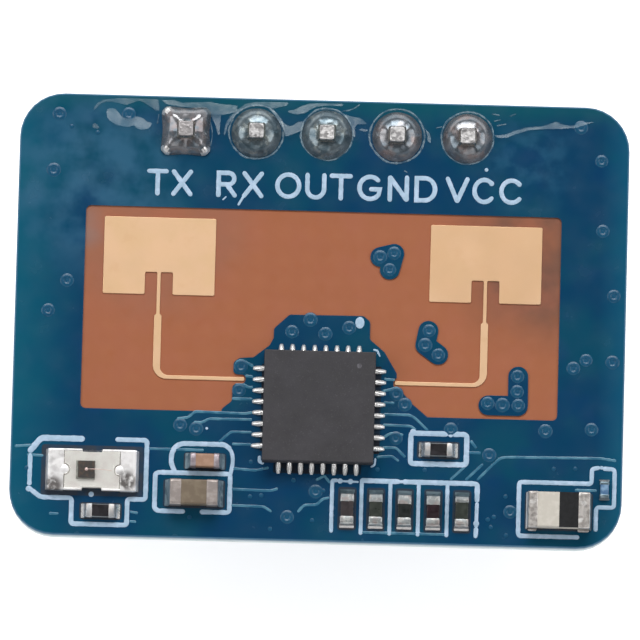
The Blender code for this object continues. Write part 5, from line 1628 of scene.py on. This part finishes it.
# %% Floor
# Matt white paper, lit a little from within so that it stays plain and pale.
paper = Finish("matt_white_paper", "#f4f4f4", 0.9, ior=1.45)
paper.mottle("#f1f1f1", 30.0, 0.4, 0.6, 0.2).fix("Emission Color", linear("#ffffff"))
paper.fix("Emission Strength", 0.55).grain(1.5, 0.01)
floor_mesh = bpy.data.meshes.new("floor")
FLOOR_HALF = 1.2
corners = [(x * FLOOR_HALF, y * FLOOR_HALF, 0.0) for x, y in ((-1, -1), (1, -1), (1, 1), (-1, 1))]
floor_mesh.from_pydata(corners, [], [(0, 1, 2, 3)])
floor_mesh.materials.append(paper.material)
floor = bpy.data.objects.new("floor", floor_mesh)
bpy.context.scene.collection.objects.link(floor)

# %% [markdown]
# Each soft box is an area light on a dome around the board and looks at its middle. The
# sky is bright near the horizon and nearly dark overhead, so that flat faces mirror the
# dark part while steep sides and rims mirror the bright one.

# %% Soft boxes
BOARD_MIDDLE = Vector((0.0, 0.0, FACE * MM))


def add_softbox(name, azimuth, elevation, distance, width, height, power):
    """A soft box that looks at the board; azimuth 0 is beyond its far edge."""
    data = bpy.data.lights.new(name, "AREA")
    data.shape = "RECTANGLE"
    data.size = width
    data.size_y = height
    data.energy = power
    box = bpy.data.objects.new(name, data)
    side = math.radians(azimuth)
    lift = math.radians(elevation)
    away = Vector((math.sin(side) * math.cos(lift), math.cos(side) * math.cos(lift), math.sin(lift)))
    box.location = BOARD_MIDDLE + away * distance
    box.rotation_mode = "QUATERNION"
    box.rotation_quaternion = away.to_track_quat("Z", "Y")
    box.visible_camera = False
    bpy.context.scene.collection.objects.link(box)
    print(f"{name}: {power} W from {distance} m, {elevation} degrees up")


add_softbox("far_box", 0, 50, 0.55, 0.45, 0.22, 2.5)
add_softbox("left_box", -90, 42, 0.60, 0.40, 0.30, 1.15)
add_softbox("right_box", 90, 42, 0.60, 0.40, 0.30, 1.0)
add_softbox("near_box", 180, 50, 0.60, 0.40, 0.36, 0.45)

# %% The sky
world = bpy.data.worlds.new("dim_studio")
world.use_nodes = True
tree = world.node_tree
sky = tree.nodes["Background"]
sky.inputs["Color"].default_value = linear("#e8ebf0")
direction = add(tree, "ShaderNodeTexCoord")
height = add(tree, "ShaderNodeSeparateXYZ", {}, {0: direction.outputs["Generated"]})
fade = {"Value": height.outputs["Z"], "From Min": 0.15, "From Max": 0.55, "To Min": 0.8, "To Max": 0.05}
tree.links.new(add(tree, "ShaderNodeMapRange", {}, fade).outputs["Result"], sky.inputs["Strength"])
bpy.context.scene.world = world
print(f"sky: strength {fade['To Min']} low down, {fade['To Max']} overhead")
bpy.context.scene.view_settings.view_transform = "Standard"

# %% [markdown]
# The camera is a long lens, 0.31 m from the board and nearly straight above it. It leans
# a few degrees, as in the photograph, so that the near sides of the parts just show.

# %% Camera
camera_data = bpy.data.cameras.new("camera")
camera_data.lens = 490.77
camera_data.sensor_width = 36.0
camera_data.clip_start = 0.01
camera_data.clip_end = 10.0
camera = bpy.data.objects.new("camera", camera_data)
camera.location = (-0.000902, -0.038289, 0.321345)
camera.rotation_euler = (0.1221373, -0.0061407, 0.0266262)
bpy.context.scene.collection.objects.link(camera)
bpy.context.scene.camera = camera
print(f"camera: {camera_data.lens:.0f} mm lens, {(camera.location - BOARD_MIDDLE).length:.3f} m from the board")
